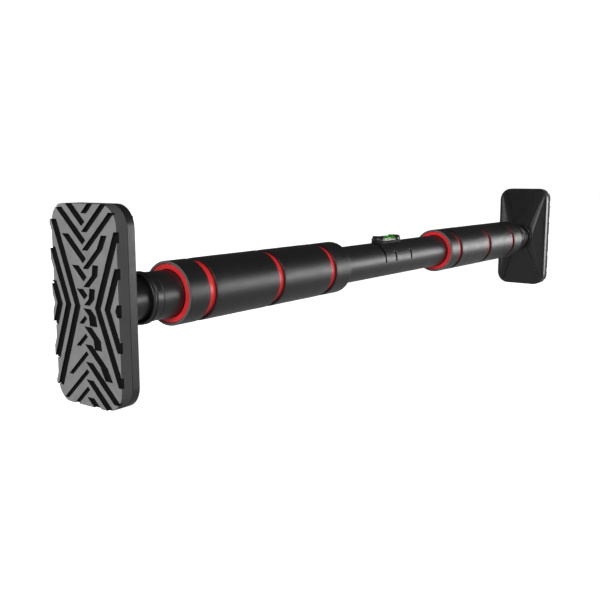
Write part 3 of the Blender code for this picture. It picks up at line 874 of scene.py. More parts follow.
@dataclass
class Foot(EndAssembly):
    """One foot: rubber pad, moulded shell, hub ring and the neck with its thread.

    Attributes:
        corner: Radius of the pad's corners.
        recess: How far the land's +Y and -Y sides lie inside the pad's.
        pad_edge: Rounding of the pad's edges.
        rib_width: Width of the crossed ribs over the shell.
        rib_height: Their height over the facets.
        pitch: Pitch of the neck's thread.
        thread_depth: Depth of the thread.
        smooth_neck: Station where the thread starts.
        shell_edge: Station of the back edge of the shell's side wall.
    """

    corner: float = 14 * MM
    recess: Point2 = (2.2 * MM, 0.3 * MM)
    pad_edge: float = 0.2 * MM
    rib_width: float = 9 * MM
    rib_height: float = 1.9 * MM
    pitch: float = 5 * MM
    thread_depth: float = 1.1 * MM
    smooth_neck: float = 62 * MM
    shell_edge: float = 14.4 * MM

    def __post_init__(self) -> None:
        """Read the foot's places from the frame."""
        super().__post_init__()
        self.body = f"{self.label}_foot"
        self.pad = self.span("tread_pad")
        self.shell = self.span("pad_shell")
        self.hub = self.span("hub_ring")
        self.neck = self.span("neck_tube")
        low, high = extent(f"{self.label}_tread_pad")
        self.height = high.z - low.z
        self.width = high.y - low.y

    def build(self) -> None:
        """Build every visible piece of the foot."""
        self.build_pad()
        self.build_shell()
        self.build_hub()
        self.build_neck()

    def build_pad(self) -> None:
        """Rubber pad: narrower land, lugs beside the chevrons, grooves and softened edges."""
        pattern = TreadPattern()
        name = f"{self.label}_rubber_tread"
        bm = bmesh.new()
        rounded_slab(bm, Vector((self.height, self.width, self.pad.length)), self.corner,
                     Vector((0, 0, self.pad.length / 2)))
        pad = to_object(bm, name, self.placing, [Finishes.LAND, Finishes.GROOVE,
                                                 Finishes.RUBBER_SIDE])
        around, thick, middle = 20 * MM, 9 * MM, 3.3 * MM
        bm = bmesh.new()
        rounded_slab(bm, Vector((self.height + around, self.width + around, thick)),
                     self.corner, Vector((0, 0, middle)), segments=4)
        margin = to_object(bm, f"{name}_margin", self.placing, [])
        core = to_object(self.land_core(), f"{name}_core", self.placing, [])
        lugs = to_object(pattern.lugs(), f"{name}_lugs", self.placing, [])
        combine(margin, [(core, "DIFFERENCE"), (lugs, "DIFFERENCE")])
        grooves = to_object(pattern.cutter(), f"{name}_grooves", self.placing, [])
        combine(pad, [(margin, "DIFFERENCE"), (grooves, "DIFFERENCE")])
        break_edges(pad, self.pad_edge)
        bake_modifiers(pad)
        self.zone_pad(pad, pattern)
        weigh_normals(pad)
        show(pad, self.body, [f"{self.label}_tread_pad"])

    def land_core(self) -> bmesh.types.BMesh:
        """Body of the pad inside its sloping long sides, taller than the pad at both faces."""
        land_width = self.width - sum(self.recess)
        slope_start, bottom = 0.3 * MM, 13 * MM
        past = 2 * MM
        bm = bmesh.new()
        loops = [self.ring(bm, self.height + past, width, self.corner, station)
                 for width, station in ((land_width, -3 * MM), (land_width, slope_start),
                                        (self.width + 2 * past, bottom))]
        self.skin(bm, loops)
        shift = (self.recess[1] - self.recess[0]) / 2
        bmesh.ops.translate(bm, verts=bm.verts, vec=(0, shift, 0))
        return bm

    def zone_pad(self, pad: bpy.types.Object, pattern: TreadPattern) -> None:
        """Give the lands their painted sheen, the grooves their painted shade and the outer side
        its plain rubber.

        Args:
            pad: The rubber pad.
            pattern: Its grooves.
        """
        land, groove, outside = range(3)
        # How far round a groove or a land's edge a face may lie and still belong to it
        reach = 0.35 * MM
        land_top, under_groove = 0.14 * MM, pattern.depth + self.pad_edge
        # A face of the long side looks along Y to within 17 degrees
        along_y = 0.955
        to_end = self.placing.inverted()
        straight_x = self.height / 2 - self.corner
        for face in pad.data.polygons:
            centre = to_end @ face.center
            over_x = max(abs(centre.x) - straight_x, 0.0)
            recess = self.recess[0] if centre.y > 0 else self.recess[1]
            over_y = max(abs(centre.y) - self.width / 2 + recess + self.corner, 0.0)
            past_land = math.hypot(over_x, over_y) > self.corner - reach
            faces_out = abs((to_end.to_3x3() @ face.normal).y) > along_y
            in_groove = not faces_out and pattern.in_chevron(centre.x, centre.y, reach)
            # Lands take the painted sheen; groove floors and walls take the painted shade
            if centre.z < land_top:
                face.material_index = land
            elif centre.z > under_groove or (past_land and not in_groove):
                face.material_index = outside
            else:
                face.material_index = groove

    def build_shell(self) -> None:
        """Moulded shell: side wall, four facets up to the hub, and crossed ribs."""
        bm = bmesh.new()
        start = self.shell.start
        wall_top = self.shell_edge
        peak = self.hub.start - 0.3 * MM
        rings = [(self.height, self.width, self.corner, start),
                 (self.height, self.width, self.corner, wall_top - 0.6 * MM),
                 (self.height - 1.4 * MM, self.width - 1.4 * MM, self.corner - 0.7 * MM, wall_top),
                 (self.height - 6 * MM, self.width - 6 * MM, self.corner - 3 * MM,
                  wall_top + 0.25 * MM),
                 (42 * MM, 37 * MM, 16 * MM, peak - 0.8 * MM),
                 (36 * MM, 34.6 * MM, 17.2 * MM, peak)]
        self.skin(bm, [self.ring(bm, *sizes) for sizes in rings])
        name = f"{self.label}_back_shell"
        shell = to_object(bm, name, self.placing, [Finishes.ABS], crease=20)
        ribs = to_object(self.ribs(wall_top, peak), f"{name}_ribs", self.placing, [])
        socket = to_object(self.bore(self.neck.radius + 0.3 * MM, start - 2 * MM, peak + 8 * MM),
                           f"{name}_socket", self.placing, [])
        seat = to_object(self.bore(self.hub.radius + 0.25 * MM, peak, peak + 9 * MM),
                         f"{name}_seat", self.placing, [])
        combine(shell, [(ribs, "UNION"), (socket, "DIFFERENCE"), (seat, "DIFFERENCE")])
        break_edges(shell, 0.35 * MM, segments=2, angle=24)
        show(shell, self.body, [f"{self.label}_pad_shell"])

    def ring(self, bm: bmesh.types.BMesh, height: float, width: float, corner: float,
             station: float) -> list[bmesh.types.BMEdge]:
        """Rounded rectangle of edges.

        Args:
            bm: Mesh that gets the ring.
            height: Size along X.
            width: Size along Y.
            corner: Radius of its corners.
            station: Its place along Z.

        Returns:
            The ring's edges in order.
        """
        steps = 8
        verts = []
        for quarter in range(4):
            middle = Vector(((height / 2 - corner) * (1 if quarter in (0, 3) else -1),
                             (width / 2 - corner) * (1 if quarter in (0, 1) else -1)))
            for step in range(steps + 1):
                angle = math.radians(90) * (quarter + step / steps)
                point = middle + corner * Vector((math.cos(angle), math.sin(angle)))
                verts.append(bm.verts.new((point.x, point.y, station)))
        return [bm.edges.new(pair) for pair in zip(verts, verts[1:] + verts[:1])]

    def skin(self, bm: bmesh.types.BMesh, loops: list[list[bmesh.types.BMEdge]]) -> None:
        """Bridge rings into one closed shape with a face at each end.

        Args:
            bm: Mesh that holds the rings.
            loops: The rings' edges, from one end to the other.
        """
        for lower, upper in zip(loops, loops[1:]):
            bmesh.ops.bridge_loops(bm, edges=lower + upper)
        for loop in (loops[0], loops[-1]):
            bmesh.ops.edgeloop_fill(bm, edges=loop)

    def ribs(self, wall_top: float, peak: float) -> bmesh.types.BMesh:
        """Four ribs from the corners up to the hub, each with sloped flanks.

        Args:
            wall_top: Station of the shell's rim.
            peak: Station of the hub's seat.

        Returns:
            The ribs as one mesh of four solids.
        """
        bm = bmesh.new()
        far = Vector((self.height / 2 - 6.5 * MM, self.width / 2 - 6.5 * MM))
        near = Vector((13.5 * MM, 9 * MM))
        foot, crest = self.rib_width / 2, self.rib_width * 0.27
        buried = -4 * MM
        section = ((foot, buried), (-foot, buried), (-crest, self.rib_height),
                   (crest, self.rib_height))
        for sign_x in (1, -1):
            for sign_y in (1, -1):
                outer = Vector((sign_x * far.x, sign_y * far.y))
                inner = Vector((sign_x * near.x, sign_y * near.y))
                along = (outer - inner).normalized()
                across = Vector((-along.y, along.x))
                corners = []
                for end, level in ((inner, peak - 0.2 * MM), (outer, wall_top + 0.2 * MM)):
                    for half, lift in section:
                        flat = end + across * half
                        corners.append(bm.verts.new((flat.x, flat.y, level + lift)))
                bmesh.ops.convex_hull(bm, input=corners)
        return bm

    def bore(self, radius: float, start: float, end: float) -> bmesh.types.BMesh:
        """Round tool along the bar's axis."""
        bm = bmesh.new()
        bmesh.ops.create_cone(bm, cap_ends=True, segments=64, radius1=radius, radius2=radius,
                              depth=end - start)
        bmesh.ops.translate(bm, verts=bm.verts, vec=(0, 0, (start + end) / 2))
        return bm

    def build_hub(self) -> None:
        """Hub ring that holds the neck, with a bead round its mouth."""
        bore = self.neck.radius + 0.3 * MM
        radius, start, end = self.hub.radius, self.hub.start, self.hub.end
        bead = 0.4 * MM
        corners = [Corner(bore, start), Corner(radius, start, 0.2 * MM),
                   Corner(radius, start + 1.1 * MM, 0.25 * MM),
                   Corner(radius - bead, start + 1.35 * MM, 0.15 * MM),
                   Corner(radius - bead, start + 1.65 * MM, 0.15 * MM),
                   Corner(radius, start + 1.9 * MM, 0.25 * MM), Corner(radius, end, 0.6 * MM),
                   Corner(bore + 0.7 * MM, end, 0.3 * MM), Corner(bore, end - 0.5 * MM)]
        self.turn_piece("hub", "hub_ring", corners, Finishes.ABS, "black_abs")

    def build_neck(self) -> None:
        """Neck tube: smooth next to the foot, threaded where it runs through the nut."""
        neck = self.neck
        root = neck.radius - self.thread_depth
        bore = neck.radius - 2 * MM
        corners = [Corner(bore, neck.start), Corner(neck.radius, neck.start, 0.5 * MM),
                   Corner(neck.radius, self.smooth_neck, 0.4 * MM),
                   Corner(root, self.smooth_neck + 0.8 * MM, 0.3 * MM),
                   Corner(root, neck.end, 0.3 * MM), Corner(bore, neck.end)]
        self.turn_piece("neck", "neck_tube", corners, Finishes.POWDER, "black_steel")
        thread = to_object(self.thread(root), f"{self.label}_screw_thread", self.placing,
                           [Finishes.BLACK_OXIDE])
        show(thread, self.body, [])

    def thread(self, root: float) -> bmesh.types.BMesh:
        """Trapezoidal thread ridge, swept along its helix with both ends closed.

        Args:
            root: Radius at the bottom of the thread.

        Returns:
            The ridge as one solid.
        """
        steps = 40
        start = self.smooth_neck + 3 * MM
        turns = math.floor((self.neck.end - 22 * MM - start) / self.pitch)
        base, crest = self.pitch * 0.34, self.pitch * 0.17
        sunk, top = root - 0.3 * MM, self.neck.radius
        bm = bmesh.new()
        verts = [bm.verts.new((radius, 0.0, start + lift)) for radius, lift in
                 ((sunk, -base), (sunk, base), (top, crest), (top, -crest))]
        face = bm.faces.new(verts)
        made = bmesh.ops.spin(bm, geom=[face], cent=(0, 0, 0), axis=(0, 0, 1),
                              angle=FULL_TURN * turns, steps=steps * turns,
                              dvec=(0, 0, self.pitch / steps))
        last = [item for item in made["geom_last"] if isinstance(item, bmesh.types.BMFace)]
        if not last:
            raise RuntimeError("the thread's last section is open")
        return bm


# ------------------------------------------------------------------ turning grip

@dataclass
class Grip(EndAssembly):
    """One turning grip: lipped end collar, nut sleeve, red core and four foam pieces.

    Attributes:
        foam_edge: Rounding of the foam's ends.
        unevenness: How far the ground foam strays from a true round.
        steps: Faces round the foam.
    """

    foam_edge: float = 0.6 * MM
    unevenness: float = 0.07 * MM
    steps: int = 128

    def __post_init__(self) -> None:
        """Name the grip's body and read the neck that runs through it."""
        super().__post_init__()
        self.body = f"{self.label}_grip"
        self.neck = self.span("neck_tube")

    def build(self) -> None:
        """Build the whole grip."""
        self.build_collar()
        self.build_sleeve()
        self.build_core()
        for number in range(1, 5):
            self.build_foam(number)

    def build_collar(self) -> None:
        """End collar: a lip with a bead behind it, round an open mouth."""
        collar = self.span("end_collar")
        mouth = self.neck.radius + 0.5 * MM
        lip, body = collar.radius, collar.radius - 1.1 * MM
        start, end = collar.start, collar.end
        corners = [Corner(mouth + 1.4 * MM, start, 0.3 * MM),
                   Corner(lip - 0.3 * MM, start, 0.8 * MM),
                   Corner(lip, start + 1.9 * MM, 0.5 * MM),
                   Corner(lip - 0.8 * MM, start + 2.4 * MM, 0.25 * MM),
                   Corner(lip - 0.8 * MM, start + 3.1 * MM, 0.25 * MM),
                   Corner(lip - 0.1 * MM, start + 3.5 * MM, 0.4 * MM),
                   Corner(lip - 0.1 * MM, start + 4.7 * MM, 0.5 * MM),
                   Corner(body, start + 5.4 * MM, 0.5 * MM),
                   Corner(body, end - 0.1 * MM, 0.35 * MM),
                   Corner(mouth, end - 0.1 * MM), Corner(mouth, start + 2.6 * MM, 0.5 * MM)]
        self.turn_piece("collar", "end_collar", corners, Finishes.ABS, "black_abs")

    def build_sleeve(self) -> None:
        """Nut sleeve, the stretch of tube between the collar and the grip."""
        sleeve = self.span("nut_sleeve")
        bore = self.neck.radius + 0.3 * MM
        corners = [Corner(bore, sleeve.start), Corner(sleeve.radius, sleeve.start, 0.35 * MM),
                   Corner(sleeve.radius, sleeve.end, 0.35 * MM), Corner(bore, sleeve.end)]
        self.turn_piece("sleeve", "nut_sleeve", corners, Finishes.POWDER, "black_steel")

    def build_core(self) -> None:
        """Red core under the foam, seated on the sleeve at both ends."""
        core = self.span("grip_core")
        sleeve = self.span("nut_sleeve")
        seat, relief = sleeve.radius + 0.3 * MM, sleeve.radius + 1.2 * MM
        start, end = core.start, core.end
        corners = [Corner(seat, start, 0.3 * MM), Corner(core.radius, start, 0.4 * MM),
                   Corner(core.radius, end, 0.4 * MM), Corner(seat, end, 0.3 * MM),
                   Corner(seat, end - 26 * MM), Corner(relief, end - 28 * MM),
                   Corner(relief, sleeve.end + 1 * MM), Corner(seat, sleeve.end - 1 * MM)]
        self.turn_piece("red_core", "grip_core", corners, Finishes.RED, "red_sleeve",
                        self.steps)

    def build_foam(self, number: int) -> None:
        """One foam piece, a little uneven from grinding, with soft edges.

        Args:
            number: Its number from the outer end of the grip.
        """
        foam = self.span(f"grip_foam_{number}")
        core = self.span("grip_core")
        inner = core.radius + 0.25 * MM
        skin = foam.radius - self.unevenness
        rings = max(2, round(foam.length / (4 * MM)))
        corners = [Corner(inner, foam.start), Corner(skin, foam.start, self.foam_edge)]
        corners += [Corner(skin, foam.start + foam.length * ring / rings)
                    for ring in range(1, rings)]
        corners += [Corner(skin, foam.end, self.foam_edge), Corner(inner, foam.end)]
        bm = spun(rounded_profile(corners, closed=True), self.steps)
        for vert in bm.verts:
            flat = Vector((vert.co.x, vert.co.y, 0))
            if flat.length > inner + 0.1 * MM:
                wave = (math.sin(vert.co.z * 310 + number) + math.sin(vert.co.z * 123)
                        + math.sin(3 * math.atan2(flat.y, flat.x) + vert.co.z * 90)) / 3
                vert.co += flat.normalized() * self.unevenness * wave
        piece = to_object(bm, f"{self.label}_foam_{number}", self.placing,
                          [Finishes.FOAM, Finishes.CUT_FOAM])
        if number in (1, 4):
            self.cut_end(piece, foam.start if number == 1 else foam.end)
        show(piece, self.body, [f"{self.label}_grip_foam_{number}"])

    def cut_end(self, foam: bpy.types.Object, station: float) -> None:
        """Give the end face of a foam piece the finish of cut foam.

        Args:
            foam: The foam piece.
            station: Station of its end face.
        """
        to_end = self.placing.inverted()
        cut = 1
        for face in foam.data.polygons:
            if abs((to_end @ face.center).z - station) < 0.35 * self.foam_edge:
                face.material_index = cut


# ------------------------------------------------------------------ main tube

@dataclass(frozen=True)
class IndexMark:
    """Arc groove across the front of the main tube.

    Attributes:
        place: X of its middle.
        first: Lower end in degrees, from the -Y side upwards.
        last: Upper end in degrees.
        dent: Length of the shallow pressed dent that runs up to it from -X, or 0.
    """

    place: float
    first: float
    last: float
    dent: float = 0.0


@dataclass
class MainTube:
    """The long tube between the grips, with a long and two short index marks.

    Attributes:
        wall: Wall of the tube.
        mark_width: Width of a mark.
        mark_depth: Depth of a mark.
        mark_slope: Length of the sloped wall of a mark.
        dent_depth: Depth of the dent beside a short mark.
        steps: Faces round the tube.
        marks: The long mark and the two short ones.
    """

    wall: float = 1.5 * MM
    mark_width: float = 2.2 * MM
    mark_depth: float = 0.6 * MM
    mark_slope: float = 0.15 * MM
    dent_depth: float = 0.14 * MM
    steps: int = 180
    marks: tuple[IndexMark, ...] = (
        IndexMark(-30.2 * MM, -2, 182),
        IndexMark(-11.0 * MM, -2, 30, dent=9 * MM),
        IndexMark(17.8 * MM, -2, 30, dent=9 * MM),
    )

    def stations(self, start: float, end: float) -> list[float]:
        """Places along X where the tube needs a ring of vertices."""
        places = {start, end, start + 0.6 * MM, end - 0.6 * MM}
        for mark in self.marks:
            half = self.mark_width / 2
            places |= {mark.place - half - self.mark_slope, mark.place - half,
                       mark.place + half, mark.place + half + self.mark_slope}
            count = 8
            if mark.dent:
                places |= {mark.place - half - mark.dent * step / count
                           for step in range(1, count + 1)}
        coarse, closest = 12 * MM, 3 * MM
        count = int((end - start) / coarse)
        for step in range(1, count):
            place = start + (end - start) * step / count
            if all(abs(place - other) > closest for other in places):
                places.add(place)
        return sorted(places)

    def build(self) -> None:
        """Spin the tube on a grid that fits the marks, then sink them."""
        low, high = extent("main_tube")
        radius = high.z
        places = self.stations(low.x, high.x)
        inner = radius - self.wall
        profile = [(radius, place) for place in places] + [(inner, high.x), (inner, low.x)]
        bm = spun(profile, self.steps)
        outer = [vert for vert in bm.verts
                 if math.hypot(vert.co.x, vert.co.y) > radius - 0.01 * MM]
        for vert in outer:
            depth = self.sink(vert.co.z, self.angle(vert.co))
            if depth:
                flat = Vector((vert.co.x, vert.co.y, 0))
                vert.co -= flat.normalized() * depth
        turn = Matrix.Rotation(math.radians(90), 4, "Y")
        tube = to_object(bm, "tube_middle", turn, [Finishes.POWDER, Finishes.INK], crease=50)
        self.ink_marks(tube, radius)
        weigh_normals(tube)
        show(tube, "bar", ["main_tube"])

    def ink_marks(self, tube: bpy.types.Object, radius: float) -> None:
        """Paint shade onto the floors and walls of the marks with the dead matt black.

        Args:
            tube: The turned tube.
            radius: Its outer radius.
        """
        painted_shade = 1
        for face in tube.data.polygons:
            centre = face.center
            sunk = radius - math.hypot(centre.y, centre.z)
            reach = self.mark_width / 2 + self.mark_slope + 0.01 * MM
            near = any(abs(centre.x - mark.place) < reach for mark in self.marks)
            # Faces sunk in a mark get the dead matt black as painted shade
            if near and 0.3 * self.mark_depth < sunk < 1.5 * self.mark_depth:
                face.material_index = painted_shade

    def angle(self, point: Vector) -> float:
        """Degrees from the -Y side upwards, for a point still in the spun frame."""
        # The tube is later turned so that its +X becomes -Z
        return math.degrees(math.atan2(-point.x, -point.y))

    def sink(self, place: float, angle: float) -> float:
        """How far the skin lies under the round at one point.

        Args:
            place: X of the point.
            angle: Degrees from the -Y side upwards, between -180 and 180.

        Returns:
            Depth under the tube's round.
        """
        depth = 0.0
        for mark in self.marks:
            turned = angle if angle > mark.first - 5 else angle + 360
            if not mark.first <= turned <= mark.last:
                continue
            offset = place - mark.place
            half = self.mark_width / 2
            if abs(offset) <= half + SAME:
                depth = max(depth, self.mark_depth)
            elif mark.dent and -mark.dent - half < offset < 0:
                along = 1 + (offset + half) / mark.dent
                middle = (mark.first + mark.last) / 2
                across = math.cos(math.radians(90) * (turned - middle) / (mark.last - middle))
                depth = max(depth, self.dent_depth * along ** 2 * max(across, 0.0) ** 0.6)
        return depth


# ------------------------------------------------------------------ spirit level

@dataclass
class SpiritLevel:
    """Level on top of the tube: saddle with rails, two domed caps, and the vial.

    Attributes:
        flutes: Upright flutes round each cap's end.
        vial_wall: Wall of the acrylic vial.
        bubble_length: Length of the air bubble.
        bubble_radius: Its radius.
        ring_offset: Distance of each printed ring from the middle.
        rail_width: Width over the two rails.
        dome: Rounding of the caps' tops.
    """

    flutes: int = 9
    vial_wall: float = 0.6 * MM
    bubble_length: float = 7.5 * MM
    bubble_radius: float = 1.1 * MM
    ring_offset: float = 5.2 * MM
    rail_width: float = 8.8 * MM
    dome: float = 3 * MM

    def __post_init__(self) -> None:
        """Read the level's places from the frame."""
        low, high = extent("level_saddle")
        self.length = high.x - low.x
        self.width = high.y - low.y
        self.middle = (high.x + low.x) / 2
        self.rail_top = high.z
        low, high = extent("level_cap_near")
        self.cap_base, self.cap_top = low.z, high.z
        self.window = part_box("level_cap_far")[0][0] - high.x
        low, high = extent("level_vial")
        self.vial_radius = (high.z - low.z) / 2
        self.vial_height = (high.z + low.z) / 2
        self.vial_half = (high.x - low.x) / 2
        low, high = extent("main_tube")
        self.tube_radius = high.z

    def build(self) -> None:
        """Build the whole level."""
        self.build_saddle()
        for label, sign in (("near", -1), ("far", 1)):
            self.build_cap(label, sign)
            self.build_screw(label)
        self.build_vial()

    def along_x(self, height: float) -> Matrix:
        """Placing of a shape spun about Z that has to lie along X at a height."""
        return (Matrix.Translation((self.middle, 0, height))
                @ Matrix.Rotation(math.radians(90), 4, "Y"))

    def rod(self, name: str, radius: float, half: float, height: float) -> bpy.types.Object:
        """Plain rod along X, as a tool for cutting."""
        bm = bmesh.new()
        bmesh.ops.create_cone(bm, cap_ends=True, segments=96, radius1=radius, radius2=radius,
                              depth=2 * half)
        return to_object(bm, name, self.along_x(height), [])

    def build_saddle(self) -> None:
        """Saddle that fits the tube, with a rail on each side of the vial."""
        radius = self.width / 2
        bm = bmesh.new()
        rounded_slab(bm, Vector((self.length, self.width, 8 * MM)), radius - 0.01 * MM,
                     Vector((self.middle, 0, self.cap_base - 0.3 * MM - 4 * MM)), segments=14)
        saddle = to_object(bm, "level_base", Matrix(), [Finishes.COARSE_ABS, Finishes.GREY_ABS])
        bm = bmesh.new()
        rail_height = self.rail_top - self.tube_radius
        rounded_slab(bm, Vector((self.window - 0.6 * MM, self.rail_width, rail_height)),
                     0.4 * MM, Vector((self.middle, 0, self.rail_top - rail_height / 2)),
                     segments=3)
        rails = to_object(bm, "level_rail_block", Matrix(), [])
        tube = self.rod("level_tube_tool", self.tube_radius + 0.15 * MM, 60 * MM, 0)
        seat = self.rod("level_seat_tool", self.vial_radius + 0.15 * MM,
                        self.vial_half + 0.3 * MM, self.vial_height)
        combine(saddle, [(rails, "UNION"), (tube, "DIFFERENCE"), (seat, "DIFFERENCE")])
        break_edges(saddle, 0.22 * MM)
        grey = 1
        for face in saddle.data.polygons:
            if face.center.z > self.cap_base - 0.2 * MM:
                face.material_index = grey
        show(saddle, "bar", ["level_saddle"])

    def build_cap(self, label: str, sign: int) -> None:
        """Domed end cap with upright flutes round its outer end.

        Args:
            label: near or far.
            sign: -1 for the near cap, 1 for the far one.
        """
        radius = self.width / 2 - 0.2 * MM
        inner = self.window / 2
        round_centre = self.length / 2 - 0.2 * MM - radius
        height = self.cap_top - self.cap_base
        bm = bmesh.new()
        made = bmesh.ops.create_cone(bm, cap_ends=True, segments=72, radius1=radius,
                                     radius2=radius, depth=height)
        bmesh.ops.translate(bm, verts=made["verts"], vec=(round_centre, 0, 0))
        bmesh.ops.bisect_plane(bm, geom=bm.verts[:] + bm.edges[:] + bm.faces[:],
                               plane_co=(round_centre, 0, 0), plane_no=(-1, 0, 0),
                               clear_outer=True)
        open_edges = [edge for edge in bm.edges if edge.is_boundary]
        face = bmesh.ops.edgeloop_fill(bm, edges=open_edges)["faces"]
        grown = bmesh.ops.extrude_face_region(bm, geom=face)["geom"]
        pulled = [item for item in grown if isinstance(item, bmesh.types.BMVert)]
        bmesh.ops.translate(bm, verts=pulled, vec=(inner - round_centre, 0, 0))
        bmesh.ops.dissolve_limit(bm, angle_limit=math.radians(1), verts=bm.verts, edges=bm.edges)
        top = [edge for edge in bm.edges
               if all(vert.co.z > height / 2 - SAME for vert in edge.verts)
               and not all(abs(vert.co.x - inner) < SAME for vert in edge.verts)]
        bmesh.ops.bevel(bm, geom=top, offset=self.dome, offset_type="OFFSET", segments=8,
                        profile=0.5, affect="EDGES", clamp_overlap=False, material=-1)
        flute, orbit = 0.32 * MM, radius - 0.06 * MM
        for index in range(self.flutes):
            turn = math.radians(-80 + 160 * index / (self.flutes - 1))
            made = bmesh.ops.create_cone(bm, cap_ends=True, segments=12, radius1=flute,
                                         radius2=flute, depth=height * 0.42)
            bmesh.ops.translate(bm, verts=made["verts"], vec=(
                round_centre + orbit * math.cos(turn), orbit * math.sin(turn),
                -height * 0.24))
        placing = Matrix.Translation((self.middle, 0, self.cap_base + height / 2))
        if sign < 0:
            placing = placing @ Matrix.Rotation(math.radians(180), 4, "Z")
        cap = to_object(bm, f"level_dome_{label}", placing, [Finishes.ABS])
        seat = self.rod(f"level_dome_tool_{label}", self.vial_radius + 0.15 * MM,
                        self.vial_half + 0.3 * MM, self.vial_height)
        low, high = extent(f"level_screw_{label}")
        well_radius, well_depth = 0.62 * (high.x - low.x), 0.62 * 4 * MM
        bm = bmesh.new()
        bmesh.ops.create_cone(bm, cap_ends=True, segments=32, radius1=well_radius,
                              radius2=well_radius, depth=well_depth)
        spot = Matrix.Translation(((low.x + high.x) / 2, 0, self.cap_top + 0.7 * MM))
        well = to_object(bm, f"level_well_{label}", spot, [])
        combine(cap, [(seat, "DIFFERENCE"), (well, "DIFFERENCE")])
        weigh_normals(cap)
        show(cap, "bar", [f"level_cap_{label}"])

    def build_screw(self, label: str) -> None:
        """Small pan-head screw with a cross recess.

        Args:
            label: near or far.
        """
        low, high = extent(f"level_screw_{label}")
        radius = (high.x - low.x) / 2
        shank = radius * 0.52
        head = high.z - 1.5 * MM
        corners = [Corner(0, low.z), Corner(shank, low.z, 0.2 * MM), Corner(shank, head, 0.1 * MM),
                   Corner(radius, head, 0.15 * MM), Corner(radius, high.z - 0.3 * MM, 0.5 * MM),
                   Corner(0, high.z)]
        placing = Matrix.Translation(((low.x + high.x) / 2, 0, 0))
        screw = to_object(spun(rounded_profile(corners, closed=False), 36, closed=False),
                          f"level_pan_screw_{label}", placing, [Finishes.BLACK_OXIDE])
        bm = bmesh.new()
        for size in ((radius * 1.3, radius * 0.34), (radius * 0.34, radius * 1.3)):
            made = bmesh.ops.create_cube(bm, size=1.0)
            bmesh.ops.scale(bm, verts=made["verts"], vec=(*size, 1.4 * MM))
        spot = placing @ Matrix.Translation((0, 0, high.z + 0.1 * MM))
        cross = to_object(bm, f"level_cross_{label}", spot, [])
        combine(screw, [(cross, "DIFFERENCE")])
        weigh_normals(screw)
        show(screw, "bar", [f"level_screw_{label}"])

    def capsule(self, name: str, radius: float, half: float, centre: float,
                finish: Finishes) -> bpy.types.Object:
        """Rod with round ends along X.

        Args:
            name: The piece's name.
            radius: Radius of the rod.
            half: Half its whole length.
            centre: Height of its axis.
            finish: Its finish.

        Returns:
            The piece.
        """
        corners = [Corner(0, -half), Corner(radius, -half, radius * 0.95),
                   Corner(radius, half, radius * 0.95), Corner(0, half)]
        bm = spun(rounded_profile(corners, closed=False, segments=10), 64, closed=False)
        return to_object(bm, name, self.along_x(centre), [finish], crease=60)

    def build_vial(self) -> None:
        """Acrylic vial, green fluid, the bubble against its top, and two printed rings."""
        outer, inner = self.vial_radius, self.vial_radius - self.vial_wall
        vial = self.capsule("level_glass", outer, self.vial_half, self.vial_height,
                            Finishes.ACRYLIC)
        vial.visible_shadow = False
        show(vial, "bar", ["level_vial"])
        fluid = self.capsule("level_fluid", inner - 0.1 * MM, self.vial_half - 1.2 * MM,
                             self.vial_height, Finishes.FLUID)
        show(fluid, "bar", [])
        bubble_height = self.vial_height + inner - self.bubble_radius - 0.02 * MM
        bubble = self.capsule("level_bubble", self.bubble_radius, self.bubble_length / 2,
                              bubble_height, Finishes.BUBBLE)
        show(bubble, "bar", [])
        half, sunk, proud = 0.35 * MM, outer - 0.05 * MM, outer + 0.04 * MM
        for label, sign in (("near", -1), ("far", 1)):
            place = sign * self.ring_offset
            corners = [Corner(sunk, place - half), Corner(proud, place - half),
                       Corner(proud, place + half), Corner(sunk, place + half)]
            ring = to_object(spun(rounded_profile(corners, closed=True), 64),
                             f"level_ring_{label}", self.along_x(self.vial_height), [Finishes.INK])
            show(ring, "bar", [])


# ------------------------------------------------------------------ closed-in parts

@dataclass(frozen=True)
class HiddenParts:
    """Parts inside the bar that keep their frame solids and get a finish."""

    steel: tuple[str, ...] = ("pad_plate", "pad_bolt", "neck_plug", "guide_pin", "drive_pin",
                              "plate_screw_1", "plate_screw_2", "plate_screw_3", "plate_screw_4")
    nylon: tuple[str, ...] = ("thrust_washer",)

    def dress(self, nodes: dict[str, bpy.types.Object]) -> None:
        """Give each part its material.

        Args:
            nodes: The frame's objects by name.
        """
        for parts, finish in ((self.steel, Finishes.ZINC), (self.nylon, Finishes.NYLON)):
            for side in Side:
                for part in parts:
                    for slot in nodes[f"{side.label}_{part}"].material_slots:
                        slot.material = finish.material


# ------------------------------------------------------------------ studio

@dataclass(frozen=True)
class SoftBox:
    """A studio light.

    Attributes:
        name: Its name.
        place: Where it stands.
        aim: Point that it faces.
        size: Width and height.
        power: Watts.
    """

    name: str
    place: tuple[float, float, float]
    aim: tuple[float, float, float]
    size: Point2
    power: float

    def build(self) -> None:
        """Add the light to the scene."""
        light = bpy.data.lights.new(self.name, "AREA")
        light.shape = "RECTANGLE"
        light.size, light.size_y = self.size
        light.energy = self.power
        lamp = bpy.data.objects.new(self.name, light)
        lamp.location = self.place
        facing = Vector(self.aim) - Vector(self.place)
        lamp.rotation_euler = facing.to_track_quat("-Z", "Y").to_euler()
        bpy.context.scene.collection.objects.link(lamp)


